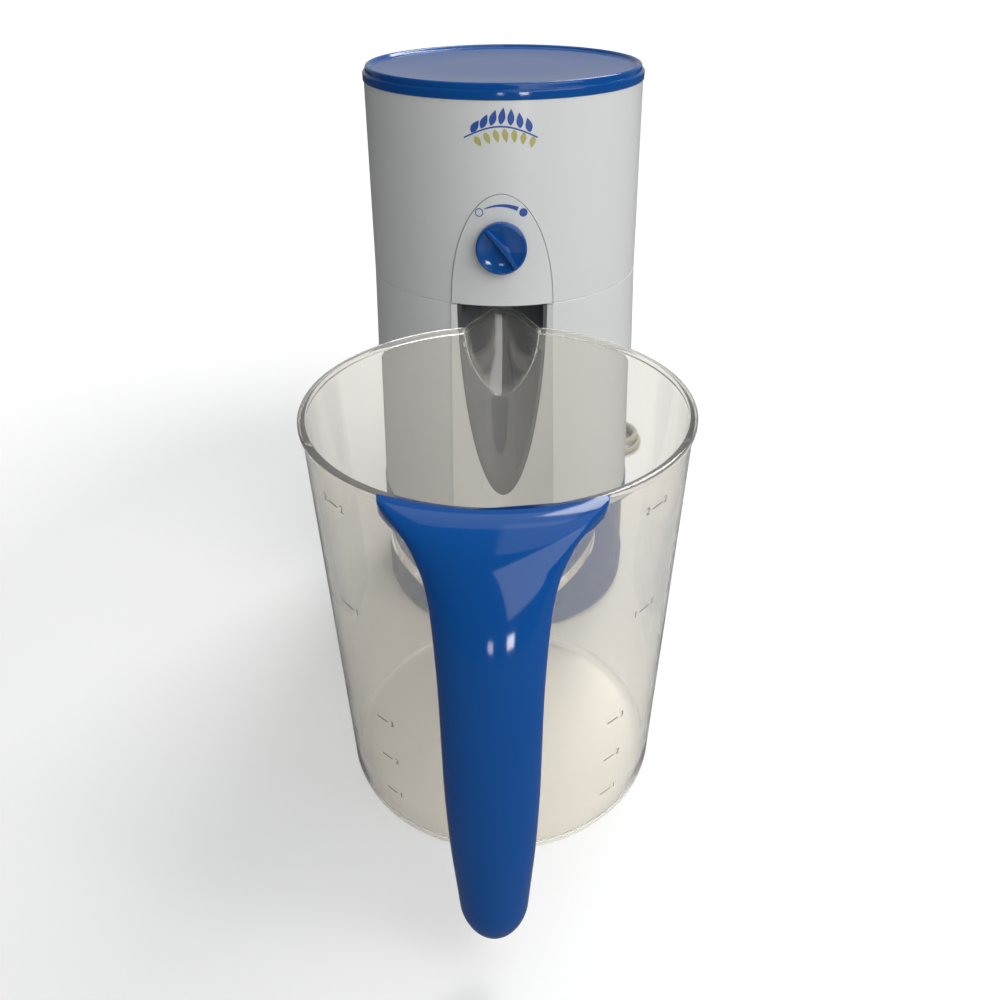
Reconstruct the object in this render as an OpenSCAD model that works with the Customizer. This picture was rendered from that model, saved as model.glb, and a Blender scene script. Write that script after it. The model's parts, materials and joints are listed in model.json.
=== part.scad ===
// Iced tea maker: a brewing tower with a lift-off head, and the clear pitcher that stands against it.
// Millimetres. +Z is up, the pitcher's handle points to -Y, and everything stands on Z = 0.

/* [Blue base] */
// Radius of the base at its foot
base_r = 83; // [80:0.5:90]
// How much narrower the base is at its top edge than at its foot
base_taper = 3; // [1:0.5:5]
// Height of the base
base_h = 72; // [68:1:84]
// Height of the straight band round the foot
foot_band_h = 14; // [9:1:18]
// Step between the foot band and the wall above it
foot_band_step = 1.2; // [0.6:0.2:2]
// Height of the gap under the base's lower edge
skirt_gap = 1.5; // [1:0.25:2]
// Width of the flat deck that carries the body and the tank
deck_w = 19; // [16:0.5:20]
// Thickness of that deck
deck_t = 3; // [2.4:0.2:4]

/* [White body] */
// How far the body's lower edge stands back from the base
body_step = 0.6; // [0.2:0.2:1.2]
// How much narrower the body is at the brewing head's seat than at its lower edge
body_taper = 5.9; // [3.4:0.5:8.4]
// Height of that seat above the table
seat_z = 208; // [200:1:216]
// Thickness of the moulded shells
wall = 2.4; // [2:0.1:2.8]
// Half width of the raised front band at its top
band_top_w = 26; // [25:0.5:30]
// Half width of the raised front band at its bottom
band_low_w = 30; // [26:0.5:34]
// How far the front band and the arch panel stand proud
band_proud = 0.6; // [0.3:0.1:1]

/* [Spout recess] */
// Radius of the scoop that takes the pitcher's spout
recess_r = 21; // [20:0.5:22.5]
// Room behind the spout's tip at the scoop's top
spout_room = 9.5; // [7.5:0.5:11.5]
// Height where the scoop runs out into the body's face
recess_low_z = 108; // [100:1:116]
// Thickness of the dark liner
liner_t = 1.8; // [1.4:0.1:2.2]

/* [Water tank] */
// Thickness of the tank's wall and floor
tank_t = 2; // [1.6:0.1:2.4]
// Distance from the tank's mouth up to the seat
tank_drop = 5; // [4.6:0.2:9]
// Outer radius of the riser tube and of the barbs that hoses push over
tube_r = 4; // [3.6:0.1:4.2]
// Bore radius of the riser tube and barbs
tube_bore_r = 2.8; // [2.4:0.1:3]
// Wall of the silicone hoses
hose_t = 1.6; // [1.2:0.1:1.8]
// Distance of the riser tube's axis from the deck's inner edge
riser_edge = 7; // [6.5:0.1:7.5]
// Gap between the riser's open end and the shower plate above it
riser_gap = 1.6; // [0.8:0.2:3]

/* [Heater] */
// Ring radius of the cast heater
heater_ring_r = 38; // [35:0.5:40]
// Radius of the heater's round section
heater_r = 9; // [7:0.5:10]
// Height of the heater's centre line
heater_z = 33; // [31:0.5:34]
// Half of the heater ring's open angle, at the back
heater_gap_deg = 35; // [32:1:38]

/* [Brewing head] */
// Height of the head above its seat
head_h = 96; // [90:1:104]
// How much narrower the head is at its mouth than at its seat
head_taper = 2.1; // [1.1:0.2:2.9]
// Thickness of the head's floor
floor_t = 3; // [2.4:0.2:3.6]
// Half width of the arch panel where it meets the seat
panel_w = 25.6; // [23:0.2:26]
// Height of the arch panel
panel_h = 55; // [52:1:64]
// Thickness of the panel's pocket in the wall
panel_t = 1.2; // [0.8:0.1:1.4]
// Width of the fine groove round the panel
groove = 0.35; // [0.2:0.05:0.6]
// Height of the dial's axis above the seat
dial_rise = 30.4; // [29:0.2:32]

/* [Dial] */
// Radius of the dial
dial_r = 12.5; // [11:0.5:14]
// Thickness of the dial's rim
dial_t = 5; // [4.4:0.2:6]
// How far the grip bar stands above the dial's rim
grip_rise = 2.2; // [1:0.2:3]
// Width of the grip bar
grip_w = 4; // [3:0.2:5]
// Angle of the dial from upright at its mild end
dial_deg = 38; // [30:1:45]
// Radius of the dial's shaft
shaft_r = 3; // [2.6:0.1:3.2]
// Running clearance round shafts and pins
running = 0.05; // [0.03:0.01:0.08]

/* [Brewing basket] */
// Gap between the basket's rim and the chimney round the riser
basket_gap = 1.2; // [0.7:0.1:4]
// Height of the basket
basket_h = 76; // [66:1:80]
// Distance of the basket's centre in front of the tower's axis
basket_shift = 4; // [3.8:0.1:4.4]
// Thickness of the filter mesh
mesh_t = 0.8; // [0.6:0.1:1.2]
// Number of ribs round the basket
rib_count = 10; // [6:1:16]

/* [Lid] */
// How far the lid overhangs the head's mouth
lid_over = 0.5; // [0:0.1:1.5]
// Height of the lid's lower rim step
lid_step_h = 4; // [3.4:0.2:5]
// Height of the whole rim
lid_h = 7; // [6.4:0.2:9]
// Thickness of the lid's top
lid_t = 2.6; // [2:0.2:3]
// Radius of the shower plate under the lid
shower_r = 44; // [38:0.5:46]
// Depth of the shower plate below the lid's underside
shower_drop = 10; // [9:0.5:12]

/* [Pitcher] */
// How much narrower than the base's foot the pitcher's wall is at its top, so that their widths match
pitcher_inset = 1; // [0:0.25:2]
// How much narrower the pitcher's wall is just above its floor than at its top
pitcher_taper = 3.5; // [2:0.25:6]
// Height of the rim
pitcher_h = 200; // [192:1:202]
// Thickness of the pitcher's wall
pitcher_wall = 2.6; // [2.2:0.1:3.2]
// Thickness of the pitcher's floor
pitcher_floor = 3.6; // [3:0.2:5]
// Radius of the rounded bottom corner
corner_r = 9; // [8:0.5:12]
// Height of the rim bead
bead_h = 6; // [4:0.5:7]
// How far the rim bead stands out
bead_out = 2.2; // [1.4:0.1:2.6]
// Clearance between the pitcher and the base when it is pushed home
dock_gap = 1.5; // [1.2:0.1:4]

/* [Spout] */
// Width of the spout at the rim
spout_w = 40; // [34:0.5:41]
// How far the spout reaches beyond the wall
spout_reach = 24; // [20:0.5:26]
// Height of the spout from its root to the rim
spout_drop = 34; // [28:1:40]
// Radius of the spout's tip
spout_tip_r = 7; // [5.5:0.5:9]
// How far the spout's lip rises above the rim
spout_rise = 2; // [0:0.5:3]

/* [Handle] */
// Distance of the handle's free end from the pitcher's axis
handle_reach = 138; // [128:1:144]
// Height of the handle's free end above the table
handle_low_z = 28; // [20:1:60]
// Width of the handle's flare along the rim
flare_w = 82; // [74:1:86]
// Width of the grip at its lower end
grip_low_w = 30; // [26:0.5:34]
// Depth of the grip, front to back
grip_depth = 19; // [17:0.5:22]
// Height of the handle's root where it meets the rim
root_h = 10.5; // [10:0.25:11]
// Wall of the handle's two shells
handle_wall = 2.4; // [2:0.1:2.8]
// Half width of the clear rib under the flare
socket_w = 37; // [34:0.5:38]
// Height of the socket rib
socket_h = 38; // [30:1:44]
// How far the socket rib stands out from the wall
socket_out = 6; // [4:0.5:7]

/* [Scale marks] */
// Heights of the water marks
water_marks = [24, 48, 73]; // [5:1:195]
// Heights of the ice marks
ice_marks = [131, 183]; // [5:1:195]
// Length of each mark along the wall
mark_len = 6; // [4:0.5:10]
// How far the marks stand proud
mark_out = 0.4; // [0.2:0.1:0.6]

/* [Switch and cord] */
// Width of the switch rocker
rocker_w = 12.6; // [11:0.2:15]
// Height of the switch rocker
rocker_h = 20; // [18:0.5:21]
// Angle that the rocker turns through
rocker_deg = 14; // [10:1:16]
// Height of the switch above the table
switch_z = 47; // [45:0.5:48]
// Height of the cord's outlet above the table
outlet_z = 15.5; // [14:0.5:18]
// Radius of the mains cord
cord_r = 2.7; // [2.4:0.1:2.75]
// Length of the strain relief outside the base
relief_len = 20; // [20:1:30]
// Angle of the cord's outlet from straight back, towards -X
outlet_deg = 20; // [10:1:30]

/* [Hidden] */
$fn = 96;
eps = 0.01;
// Clearance between pieces that sit together without moving
fit = 0.15;
// Outer radius of the pitcher's wall just below the rim bead, and just above its floor
pitcher_top_r = base_r - pitcher_inset;
pitcher_low_r = pitcher_top_r - pitcher_taper;
// Radii of the tower from the base's top edge up to the head's mouth
base_top_r = base_r - base_taper;
body_low_r = base_top_r - body_step;
seat_r = body_low_r - body_taper;
head_top_r = seat_r - head_taper;
deck_r = base_top_r - deck_w;
riser_y = deck_r - riser_edge;
chimney_r = tube_r + 2.8;
basket_r = riser_y - chimney_r + basket_shift - basket_gap;
// Distances along Y: the pitcher and the tower stand on each side of the object's middle. The pitcher
// stops against the base or, with its rim, against the body's front band, whichever comes first
foot_gap = base_r + pitcher_low_r;
rim_gap = body_r(pitcher_h) + band_proud + pitcher_top_r + bead_out;
axis_gap = max(foot_gap, rim_gap) + dock_gap;
full_depth = handle_reach + axis_gap + base_r;
pitcher_y = handle_reach - full_depth / 2;
tower_y = full_depth / 2 - base_r;
recess_depth = seat_r - (axis_gap - pitcher_top_r - spout_reach) + spout_room;
tank_top_z = seat_z - tank_drop;
head_top_z = seat_z + head_h;
floor_z = seat_z + floor_t;
dial_z = seat_z + dial_rise;
cover_t = 2.6;
cover_sink = 1;
cover_top_z = skirt_gap + cover_sink + cover_t;
cover_z = cover_top_z - cover_t;
cover_r = base_r - wall - fit;
foot_r = 8;
foot_ring_r = base_r - 21;
foot_sink = 1;
screw_ring_r = base_r - 14;
screw_angles = [20, 160, 200, 340];
screw_r = 1.4;
screw_head_r = 3;
screw_head_h = 1.5;
boss_r = 4.6;
screw_len = 14;
stub_x = heater_ring_r * sin(heater_gap_deg);
stub_y = heater_ring_r * cos(heater_gap_deg);
stub_len = 17;
stub_top_z = heater_z + stub_len;
drain_len = 6;
riser_low_z = base_h - drain_len;
hose_r = tube_r + hose_t;
drain_low_z = base_h - drain_len;
strap_t = 1.5;
strap_w = 8;
// The handle's front shell takes this share of its depth, and the seam is this wide on each side
split = 0.55;
seam = 0.05;
blue = [0.06, 0.25, 0.62];
white = [0.93, 0.93, 0.94];
grey = [0.28, 0.29, 0.31];
steel = [0.72, 0.73, 0.75];
clear = [0.85, 0.90, 0.92, 0.35];
rubber = [0.2, 0.2, 0.2];

function lerp(a, b, t) = a + (b - a) * t;
function clamp(v, a, b) = min(b, max(a, v));
// Outer radius of the base's wall, the white body and the head at a height
function base_wall_r(z) =
    lerp(base_r - foot_band_step, base_top_r, (z - foot_band_h) / (base_h - foot_band_h));
function body_r(z) = lerp(body_low_r, seat_r, (z - base_h) / (seat_z - base_h));
function head_r(z) = lerp(seat_r, head_top_r, (z - seat_z) / head_h);
function pitcher_r(z) = lerp(pitcher_low_r, pitcher_top_r, (z - corner_r) / (pitcher_h - corner_r));

module at_tower() translate([0, tower_y, 0]) children();
module at_pitcher() translate([0, pitcher_y, 0]) children();
module at_angles(list, r) for (a = list) rotate([0, 0, a]) translate([r, 0, 0]) children();
module frustum(z0, z1, r0, r1) translate([0, 0, z0]) cylinder(h = z1 - z0, r1 = r0, r2 = r1);
module tube(z0, z1, r, bore) difference() {
    frustum(z0, z1, r, r);
    frustum(z0 - eps, z1 + eps, bore, bore);
}
// A cylinder along +Y that starts at a point
module rod_y(y0, y1, r, x = 0, z = 0) translate([x, y0, z]) rotate([-90, 0, 0]) cylinder(h = y1 - y0, r = r);

// The scoop is a tilted round-backed trough: its inner line runs from the recess depth up at
// the seat down to the body's face at recess_low_z
recess_run = body_r(recess_low_z) - (seat_r - recess_depth);
recess_tilt = atan(recess_run / (seat_z - recess_low_z));
recess_len = (seat_z - recess_low_z) * 1.6;
scoop_sides = 28;
module scoop(grow = 0) translate([0, recess_depth - seat_r, seat_z]) rotate([-recess_tilt, 0, 0])
    translate([0, -recess_r, -recess_len]) linear_extrude(recess_len + 30) polygon(concat(
        [for (i = [0 : scoop_sides]) let (a = 180 * i / scoop_sides) (recess_r + grow) * [cos(a), sin(a)]],
        [[-recess_r - grow, -2 * recess_r], [recess_r + grow, -2 * recess_r]]
    ));

// Base

module skirt_profile() polygon([
    [base_r - wall, skirt_gap],
    [base_r - 0.8, skirt_gap],
    [base_r, skirt_gap + 0.8],
    [base_r, foot_band_h - 0.4],
    [base_r - foot_band_step, foot_band_h],
    [base_top_r, base_h - 0.8],
    [base_top_r - 0.8, base_h],
    [deck_r, base_h],
    [deck_r, base_h - deck_t],
    [base_top_r - wall, base_h - deck_t],
    [base_r - foot_band_step - wall, foot_band_h],
    [base_r - wall, foot_band_h - 3]
]);

// The switch sits in a flat pocket at the back of the base
switch_y = base_wall_r(switch_z);
bezel_t = 2.2;
bezel_sink = 1.4;
bezel_edge = 2.8;
sleeve_t = 1.5;
sleeve_len = 13;
rocker_gap = 0.6;
window_w = rocker_w + 2 * rocker_gap;
window_h = rocker_h + 2 * rocker_gap + 0.8;
module switch_block(w, h, y0, y1) translate([-w / 2, switch_y + y0, switch_z - h / 2])
    cube([w, y1 - y0, h]);

gland_y = base_wall_r(outlet_z);
gland_neck_r = cord_r + 2.2;
gland_flange_r = cord_r + 4.4;
gland_sink = 1.2;

module base_skirt() color(blue) at_tower() difference() {
    union() {
        rotate_extrude() skirt_profile();
        at_angles(screw_angles, screw_ring_r) frustum(cover_top_z, base_h - deck_t + eps, boss_r, boss_r);
    }
    at_angles(screw_angles, screw_ring_r)
        frustum(cover_top_z - eps, cover_top_z + screw_len, screw_r, screw_r);
    switch_block(window_w + 2 * bezel_edge + 2 * fit, window_h + 2 * bezel_edge + 2 * fit, -bezel_sink, 10);
    switch_block(window_w + 2 * sleeve_t + 2 * fit, window_h + 2 * sleeve_t + 2 * fit, -10, 10);
    rotate([0, 0, outlet_deg]) {
        rod_y(gland_y - gland_sink, gland_y + 10, gland_flange_r + fit, z = outlet_z);
        rod_y(gland_y - 10, gland_y + 10, gland_neck_r, z = outlet_z);
    }
}

vent_count = 7;
vent_pitch = 8;
module bottom_cover() color(grey) at_tower() difference() {
    union() {
        frustum(cover_z, cover_top_z, cover_r, cover_r);
        for (a = [-90, 30, 150]) rotate([0, 0, a]) translate([heater_ring_r, 0, 0])
            frustum(cover_top_z - eps, heater_z - heater_r, 6, 5);
        for (s = [-1, 1]) translate([0, -heater_ring_r + s * strap_post, 0])
            frustum(cover_top_z - eps, heater_z - 2, 4.4, 4.4);
    }
    at_angles(screw_angles, screw_ring_r) {
        frustum(cover_z - eps, cover_top_z + eps, screw_r, screw_r);
        frustum(cover_z - eps, cover_z + screw_head_h, screw_head_r + fit, screw_head_r + fit);
    }
    at_angles([45, 135, 225, 315], foot_ring_r)
        frustum(cover_z - eps, cover_z + foot_sink, foot_r + fit, foot_r + fit);
    for (i = [0 : vent_count - 1]) translate([(i - (vent_count - 1) / 2) * vent_pitch, 0, cover_z])
        cube([3, 40, 4 * cover_t], center = true);
    for (s = [-1, 1]) translate([0, -heater_ring_r + s * strap_post, 0])
        frustum(heater_z - 12, heater_z, screw_r, screw_r);
}

module feet() color(rubber) at_tower() at_angles([45, 135, 225, 315], foot_ring_r) rotate_extrude()
    polygon([[0, 0], [foot_r - 1, 0], [foot_r, 1], [foot_r, cover_z + foot_sink], [0, cover_z + foot_sink]]);

module cover_screws() color(steel) at_tower() at_angles(screw_angles, screw_ring_r) difference() {
    union() {
        frustum(cover_z, cover_z + screw_head_h, screw_head_r, screw_head_r);
        frustum(cover_z, cover_top_z + screw_len - 2, screw_r, screw_r);
    }
    for (a = [0, 90]) rotate([0, 0, a]) translate([0, 0, cover_z])
        cube([3.6, 0.8, 1.6], center = true);
}

// Body, recess and tank

module front_band() intersection() {
    frustum(base_h, seat_z - 0.5, body_low_r + band_proud, body_r(seat_z - 0.5) + band_proud);
    rotate([90, 0, 0]) linear_extrude(2 * base_r) polygon([
        [-band_low_w, base_h],
        [band_low_w, base_h],
        [band_top_w, seat_z],
        [-band_top_w, seat_z]
    ]);
}

module body_shell() color(white) at_tower() difference() {
    union() {
        rotate_extrude() polygon([
            [body_low_r - wall, base_h],
            [body_low_r, base_h],
            [body_r(seat_z - 0.5), seat_z - 0.5],
            [seat_r - 0.5, seat_z],
            [seat_r - wall, seat_z]
        ]);
        front_band();
    }
    frustum(base_h - eps, seat_z + eps, body_low_r - wall, seat_r - wall);
    scoop(liner_t + fit);
}

module recess_liner() color(grey) at_tower() intersection() {
    difference() {
        scoop(liner_t);
        scoop();
    }
    frustum(base_h, seat_z - 0.4, body_low_r + band_proud, seat_r + band_proud);
}

tank_low_r = body_low_r - wall - fit;
tank_mouth_r = body_r(tank_top_z) - wall - fit;
pocket = liner_t + 2 * fit;
grommet_r = tube_r + 2.5;
module water_tank() color([0.86, 0.88, 0.9]) at_tower() difference() {
    union() {
        difference() {
            frustum(base_h, tank_top_z, tank_low_r, tank_mouth_r);
            difference() {
                frustum(base_h + tank_t, tank_top_z + eps, tank_low_r - tank_t, tank_mouth_r - tank_t);
                scoop(pocket + tank_t);
            }
        }
        translate([stub_x, stub_y, 0]) frustum(drain_low_z, base_h + eps, tube_r, tube_r);
    }
    scoop(pocket);
    translate([stub_x, stub_y, 0]) frustum(drain_low_z - eps, base_h + 2 * tank_t, tube_bore_r, tube_bore_r);
    translate([0, riser_y, 0]) frustum(base_h - eps, base_h + 2 * tank_t, grommet_r, grommet_r);
}

module riser_tube() color(steel) at_tower() translate([0, riser_y, 0])
    tube(riser_low_z, shower_z - riser_gap, tube_r, tube_bore_r);

grommet_lip = 1.2;
module riser_grommet() color(rubber) at_tower() translate([0, riser_y, 0]) rotate_extrude() polygon([
    [tube_r, base_h],
    [grommet_r, base_h],
    [grommet_r, base_h + tank_t],
    [grommet_r + grommet_lip, base_h + tank_t],
    [grommet_r + grommet_lip, base_h + tank_t + 1.4],
    [tube_r, base_h + tank_t + 2.6]
]);

// Heater and its plumbing

heater_sweep = 360 - 2 * heater_gap_deg;
module heater_block() color(steel) at_tower() difference() {
    union() {
        translate([0, 0, heater_z]) rotate([0, 0, 90 + heater_gap_deg]) rotate_extrude(angle = heater_sweep)
            translate([heater_ring_r, 0]) circle(heater_r);
        for (s = [-1, 1]) translate([s * stub_x, stub_y, 0])
            frustum(heater_z, stub_top_z, tube_r, tube_r);
    }
    for (s = [-1, 1]) translate([s * stub_x, stub_y, 0])
        frustum(heater_z + heater_r / 2, stub_top_z + eps, tube_bore_r, tube_bore_r);
}

strap_foot = 6.5;
strap_post = heater_r + strap_foot;
strap_top = heater_r + 0.3 + strap_t;
module heater_strap() color(steel) at_tower() translate([0, -heater_ring_r, heater_z]) difference() {
    intersection() {
        union() {
            rotate([0, 90, 0]) translate([0, 0, -strap_w / 2])
                cylinder(h = strap_w, r = strap_top);
            translate([-strap_w / 2, -strap_post - 4, -2]) cube([strap_w, 2 * strap_post + 8, strap_t]);
        }
        translate([-strap_w, -strap_post - 5, -2]) cube([2 * strap_w, 2 * strap_post + 10, 2 * strap_top]);
    }
    rotate([0, 90, 0]) translate([0, 0, -strap_w]) cylinder(h = 2 * strap_w, r = strap_top - strap_t);
    for (s = [-1, 1]) translate([0, s * strap_post, -5]) cylinder(h = 10, r = screw_r + fit);
}

module strap_screws() color(steel) at_tower() for (s = [-1, 1])
    translate([0, -heater_ring_r + s * strap_post, heater_z - 2]) {
        translate([0, 0, -8]) cylinder(h = 8 + strap_t, r = screw_r);
        translate([0, 0, strap_t]) cylinder(h = 1.8, r = screw_head_r);
    }

terminal_len = 7;
module heater_terminals() color([0.9, 0.88, 0.82]) at_tower() for (s = [-1, 1])
    rotate([0, 0, 90 - s * heater_gap_deg]) translate([heater_ring_r, 0, heater_z - heater_r / 2])
        rotate([s * -90, 0, 0]) {
            cylinder(h = terminal_len, r = 3);
            translate([-0.4, -2, terminal_len]) cube([0.8, 4, 6]);
        }

thermostat_deg = 205;
module thermostat() color([0.15, 0.15, 0.17]) at_tower() rotate([0, 0, thermostat_deg])
    translate([heater_ring_r, 0, heater_z + heater_r - 0.5]) {
        cylinder(h = 1.2, r = 9);
        cylinder(h = 6, r = 7);
        for (s = [-1, 1]) translate([s * 4 - 0.4, -2, 6 - eps]) cube([0.8, 4, 5]);
    }

fuse_deg = 335;
fuse_r = 2.2;
module thermal_fuse() color([0.8, 0.76, 0.6]) at_tower() rotate([0, 0, fuse_deg])
    translate([heater_ring_r, 0, heater_z + heater_r + fuse_r - 0.3]) {
        rod_y(-7, 7, fuse_r);
        rod_y(-13, 13, 0.6);
    }

valve_drop = 7;
valve_mid_z = drain_low_z - valve_drop;
valve_half = 3.6;
hose_lap = 5;
module inlet_hoses() color([0.9, 0.9, 0.88]) at_tower() translate([stub_x, stub_y, 0]) {
    tube(stub_top_z - hose_lap, valve_mid_z - valve_half, hose_r, tube_r);
    tube(valve_mid_z + valve_half, drain_low_z + hose_lap, hose_r, tube_r);
}

module check_valve() color([0.9, 0.9, 0.92]) at_tower() translate([stub_x, stub_y, 0]) difference() {
    union() {
        frustum(stub_top_z, drain_low_z, tube_r, tube_r);
        frustum(valve_mid_z - valve_half, valve_mid_z + valve_half, hose_r + 0.6, hose_r + 0.6);
    }
    frustum(stub_top_z - eps, valve_mid_z - 1.6, tube_bore_r, tube_bore_r);
    frustum(valve_mid_z - 1.6, drain_low_z + eps, tube_bore_r - 1, tube_bore_r);
}

// The outlet hose climbs from the heater, runs across under the tank and turns up to the riser
run_dx = -stub_x;
run_dy = riser_y - stub_y;
run_len = norm([run_dx, run_dy]);
run_deg = atan2(-run_dy, stub_x);
bend_r = 7.5;
run_z = riser_low_z - bend_r;
module bend(bore) rotate([90, 0, 0]) rotate_extrude(angle = 90) translate([bend_r, 0]) difference() {
    circle(hose_r);
    circle(bore);
}
module outlet_hose() color([0.9, 0.9, 0.88]) at_tower() translate([-stub_x, stub_y, 0])
    rotate([0, 0, atan2(run_dy, stub_x)]) {
        tube(stub_top_z - hose_lap, run_z - bend_r + eps, hose_r, tube_r);
        translate([bend_r, 0, run_z - bend_r]) mirror([1, 0, 0]) bend(tube_r);
        translate([bend_r - eps, 0, run_z]) rotate([0, 90, 0]) difference() {
            cylinder(h = run_len - 2 * bend_r + 2 * eps, r = hose_r);
            translate([0, 0, -eps]) cylinder(h = run_len, r = tube_r);
        }
        translate([run_len - bend_r, 0, run_z + bend_r]) mirror([0, 0, 1]) bend(tube_r);
        translate([run_len, 0, 0]) tube(riser_low_z - eps, base_h - eps, hose_r, tube_r);
    }

// Switch and cord outlet

rocker_pivot_y = switch_y - 3;
pin_r = 1.2;
module switch_bezel() color(rubber) at_tower() difference() {
    union() {
        switch_block(window_w + 2 * bezel_edge, window_h + 2 * bezel_edge, -bezel_sink, bezel_t - bezel_sink);
        switch_block(window_w + 2 * sleeve_t, window_h + 2 * sleeve_t, -sleeve_len, 0);
    }
    switch_block(window_w, window_h, -sleeve_len + sleeve_t, 10);
    translate([-window_w, rocker_pivot_y, switch_z]) rotate([0, 90, 0])
        cylinder(h = 2 * window_w, r = pin_r + running);
}

module switch_rocker() color([0.8, 0.1, 0.1]) at_tower() translate([0, rocker_pivot_y, switch_z])
    rotate([rocker_deg / 2, 0, 0]) {
        translate([-rocker_w / 2, 0, 0]) rotate([90, 0, 90]) linear_extrude(rocker_w) polygon([
            [-6, -5],
            [-6, 5],
            [0, rocker_h / 2],
            [3.8, rocker_h / 2],
            [2.6, 0],
            [3.8, -rocker_h / 2],
            [0, -rocker_h / 2]
        ]);
        translate([-rocker_w / 2 - rocker_gap - 1, 0, 0]) rotate([0, 90, 0])
            cylinder(h = rocker_w + 2 * rocker_gap + 2, r = pin_r);
    }

module cord_gland() color(rubber) at_tower() rotate([0, 0, outlet_deg]) difference() {
    union() {
        rod_y(gland_y - wall - 5, gland_y, gland_neck_r, z = outlet_z);
        rod_y(gland_y - gland_sink, gland_y + 1.2, gland_flange_r, z = outlet_z);
        rod_y(gland_y - wall - 5.5, gland_y - wall - 3, gland_flange_r, z = outlet_z);
        translate([0, gland_y, outlet_z]) rotate([-90, 0, 0])
            cylinder(h = relief_len, r1 = gland_neck_r, r2 = cord_r + 1);
        for (i = [1 : 4]) rod_y(gland_y + i * 4, gland_y + i * 4 + 1.6, gland_neck_r + 0.5 - i * 0.3, z = outlet_z);
    }
    rod_y(gland_y - 20, gland_y + relief_len + eps, cord_r, z = outlet_z);
}

// Mains cord

// The free lead runs from inside the gland, down to the table and into the hank's outer run
lead_route = [
    [-24.8, 177.3, 15.5], [-27.9, 185.8, 15.5], [-31.4, 195.3, 15.5], [-34.9, 204.8, 15.5],
    [-36.4, 211.9, 15], [-36, 218.8, 13.7], [-33.6, 225.5, 11.9], [-29.5, 231.4, 9.8], [-24, 235.9, 7.6],
    [-17.5, 238.7, 5.6], [-10.5, 239.7, 4.1], [-4.8, 239.7, 3.3], [1, 239.7, 3.15]
];
// The hank: its runs lie along X, its folds turn at each end, and a tie draws its waist in
hank_x = 46;
hank_y = 263.3;
hank_half = 45;
hank_low_z = 3.15;
layer_step = 5.85;
fold_r = 16.2;
loop_step = 6.6;
waist = 12.5;
turn_mid = 1.125;
hank_turns = 1.75;
hank_end_x = -30;
function hank_r(s) = fold_r + loop_step * abs(s - turn_mid);
function smooth(c) = c * c * (3 - 2 * c);
function hank_z(s) = hank_low_z + layer_step * smooth(clamp(4 * (s - 1), 0, 1));
// One point on the hank after s turns: front run, right fold, back run, left fold
function hank_point(s) = let (
    q = floor(4 * (s % 1)), f = 4 * (s % 1) - q, r = hank_r(s),
    draw = waist * (1 - cos(360 * f)) / 2
) q == 0 ? [hank_x + hank_half * (2 * f - 1), hank_y - r + draw, hank_z(s)]
    : q == 1 ? [hank_x + hank_half + r * sin(180 * f), hank_y - r * cos(180 * f), hank_z(s)]
    : q == 2 ? [hank_x + hank_half * (1 - 2 * f), hank_y + r - draw, hank_z(s)]
    : [hank_x - hank_half - r * sin(180 * f), hank_y + r * cos(180 * f), hank_z(s)];
rings_per_loop = 24;
last_point = hank_point(hank_turns - 0.0001);
hank_route = concat(
    [for (i = [0 : hank_turns * rings_per_loop - 1]) hank_point(i / rings_per_loop)],
    [for (x = [last_point[0], -12, -22, hank_end_x]) [x, last_point[1], last_point[2]]]
);
// Least gap between stretches of the hank that aren't next to each other, measured on fine points
fine = [for (i = [0 : 240]) hank_point(min(i / 240 * hank_turns, hank_turns - 0.0001))];
least_gap = min([for (i = [0 : 240]) for (j = [i + 20 : 240]) norm(fine[i] - fine[j])]) - 2 * cord_r;
echo(least_gap = least_gap);

function unit(v) = v / norm(v);
function tangent(path, i) = unit(path[min(i + 1, len(path) - 1)] - path[max(i - 1, 0)]);
// The ends are cut square to the first and last stretch
module cord_tube(path, n) {
    points = [for (i = [0 : len(path) - 1]) let (
        t = tangent(path, i), across = unit(cross(t, [0, 0, 1])), up = cross(across, t)
    ) for (j = [0 : n - 1]) path[i] + cord_r * (cos(360 * (j + 0.5) / n) * across + sin(360 * (j + 0.5) / n) * up)];
    last = (len(path) - 1) * n;
    walls = [for (i = [0 : len(path) - 2]) for (j = [0 : n - 1]) let (
        a = i * n + j, b = i * n + (j + 1) % n) each [[a, a + n, b], [b, a + n, b + n]]];
    ends = [for (j = [1 : n - 2]) each [[0, j, j + 1], [last, last + j + 1, last + j]]];
    polyhedron(points, concat(walls, ends));
}
module cord_lead() color(white) cord_tube(lead_route, 8);
module cord_hank() color(white) cord_tube(hank_route, 6);

tie_t = hank_low_z - cord_r;
tie_w = 5;
module cord_tie() color(rubber) translate([hank_x - tie_w / 2, hank_y, 0]) {
    low_y = -hank_r(0.125) + waist - cord_r - 0.2;
    high_y = hank_r(0.625) - waist + cord_r + 0.2;
    top_z = hank_low_z + layer_step + cord_r + 0.2;
    difference() {
        translate([0, low_y - tie_t, 0]) cube([tie_w, high_y - low_y + 2 * tie_t, top_z + tie_t]);
        translate([-1, low_y, tie_t - 0.01]) cube([tie_w + 2, high_y - low_y, top_z - tie_t]);
    }
}

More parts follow.
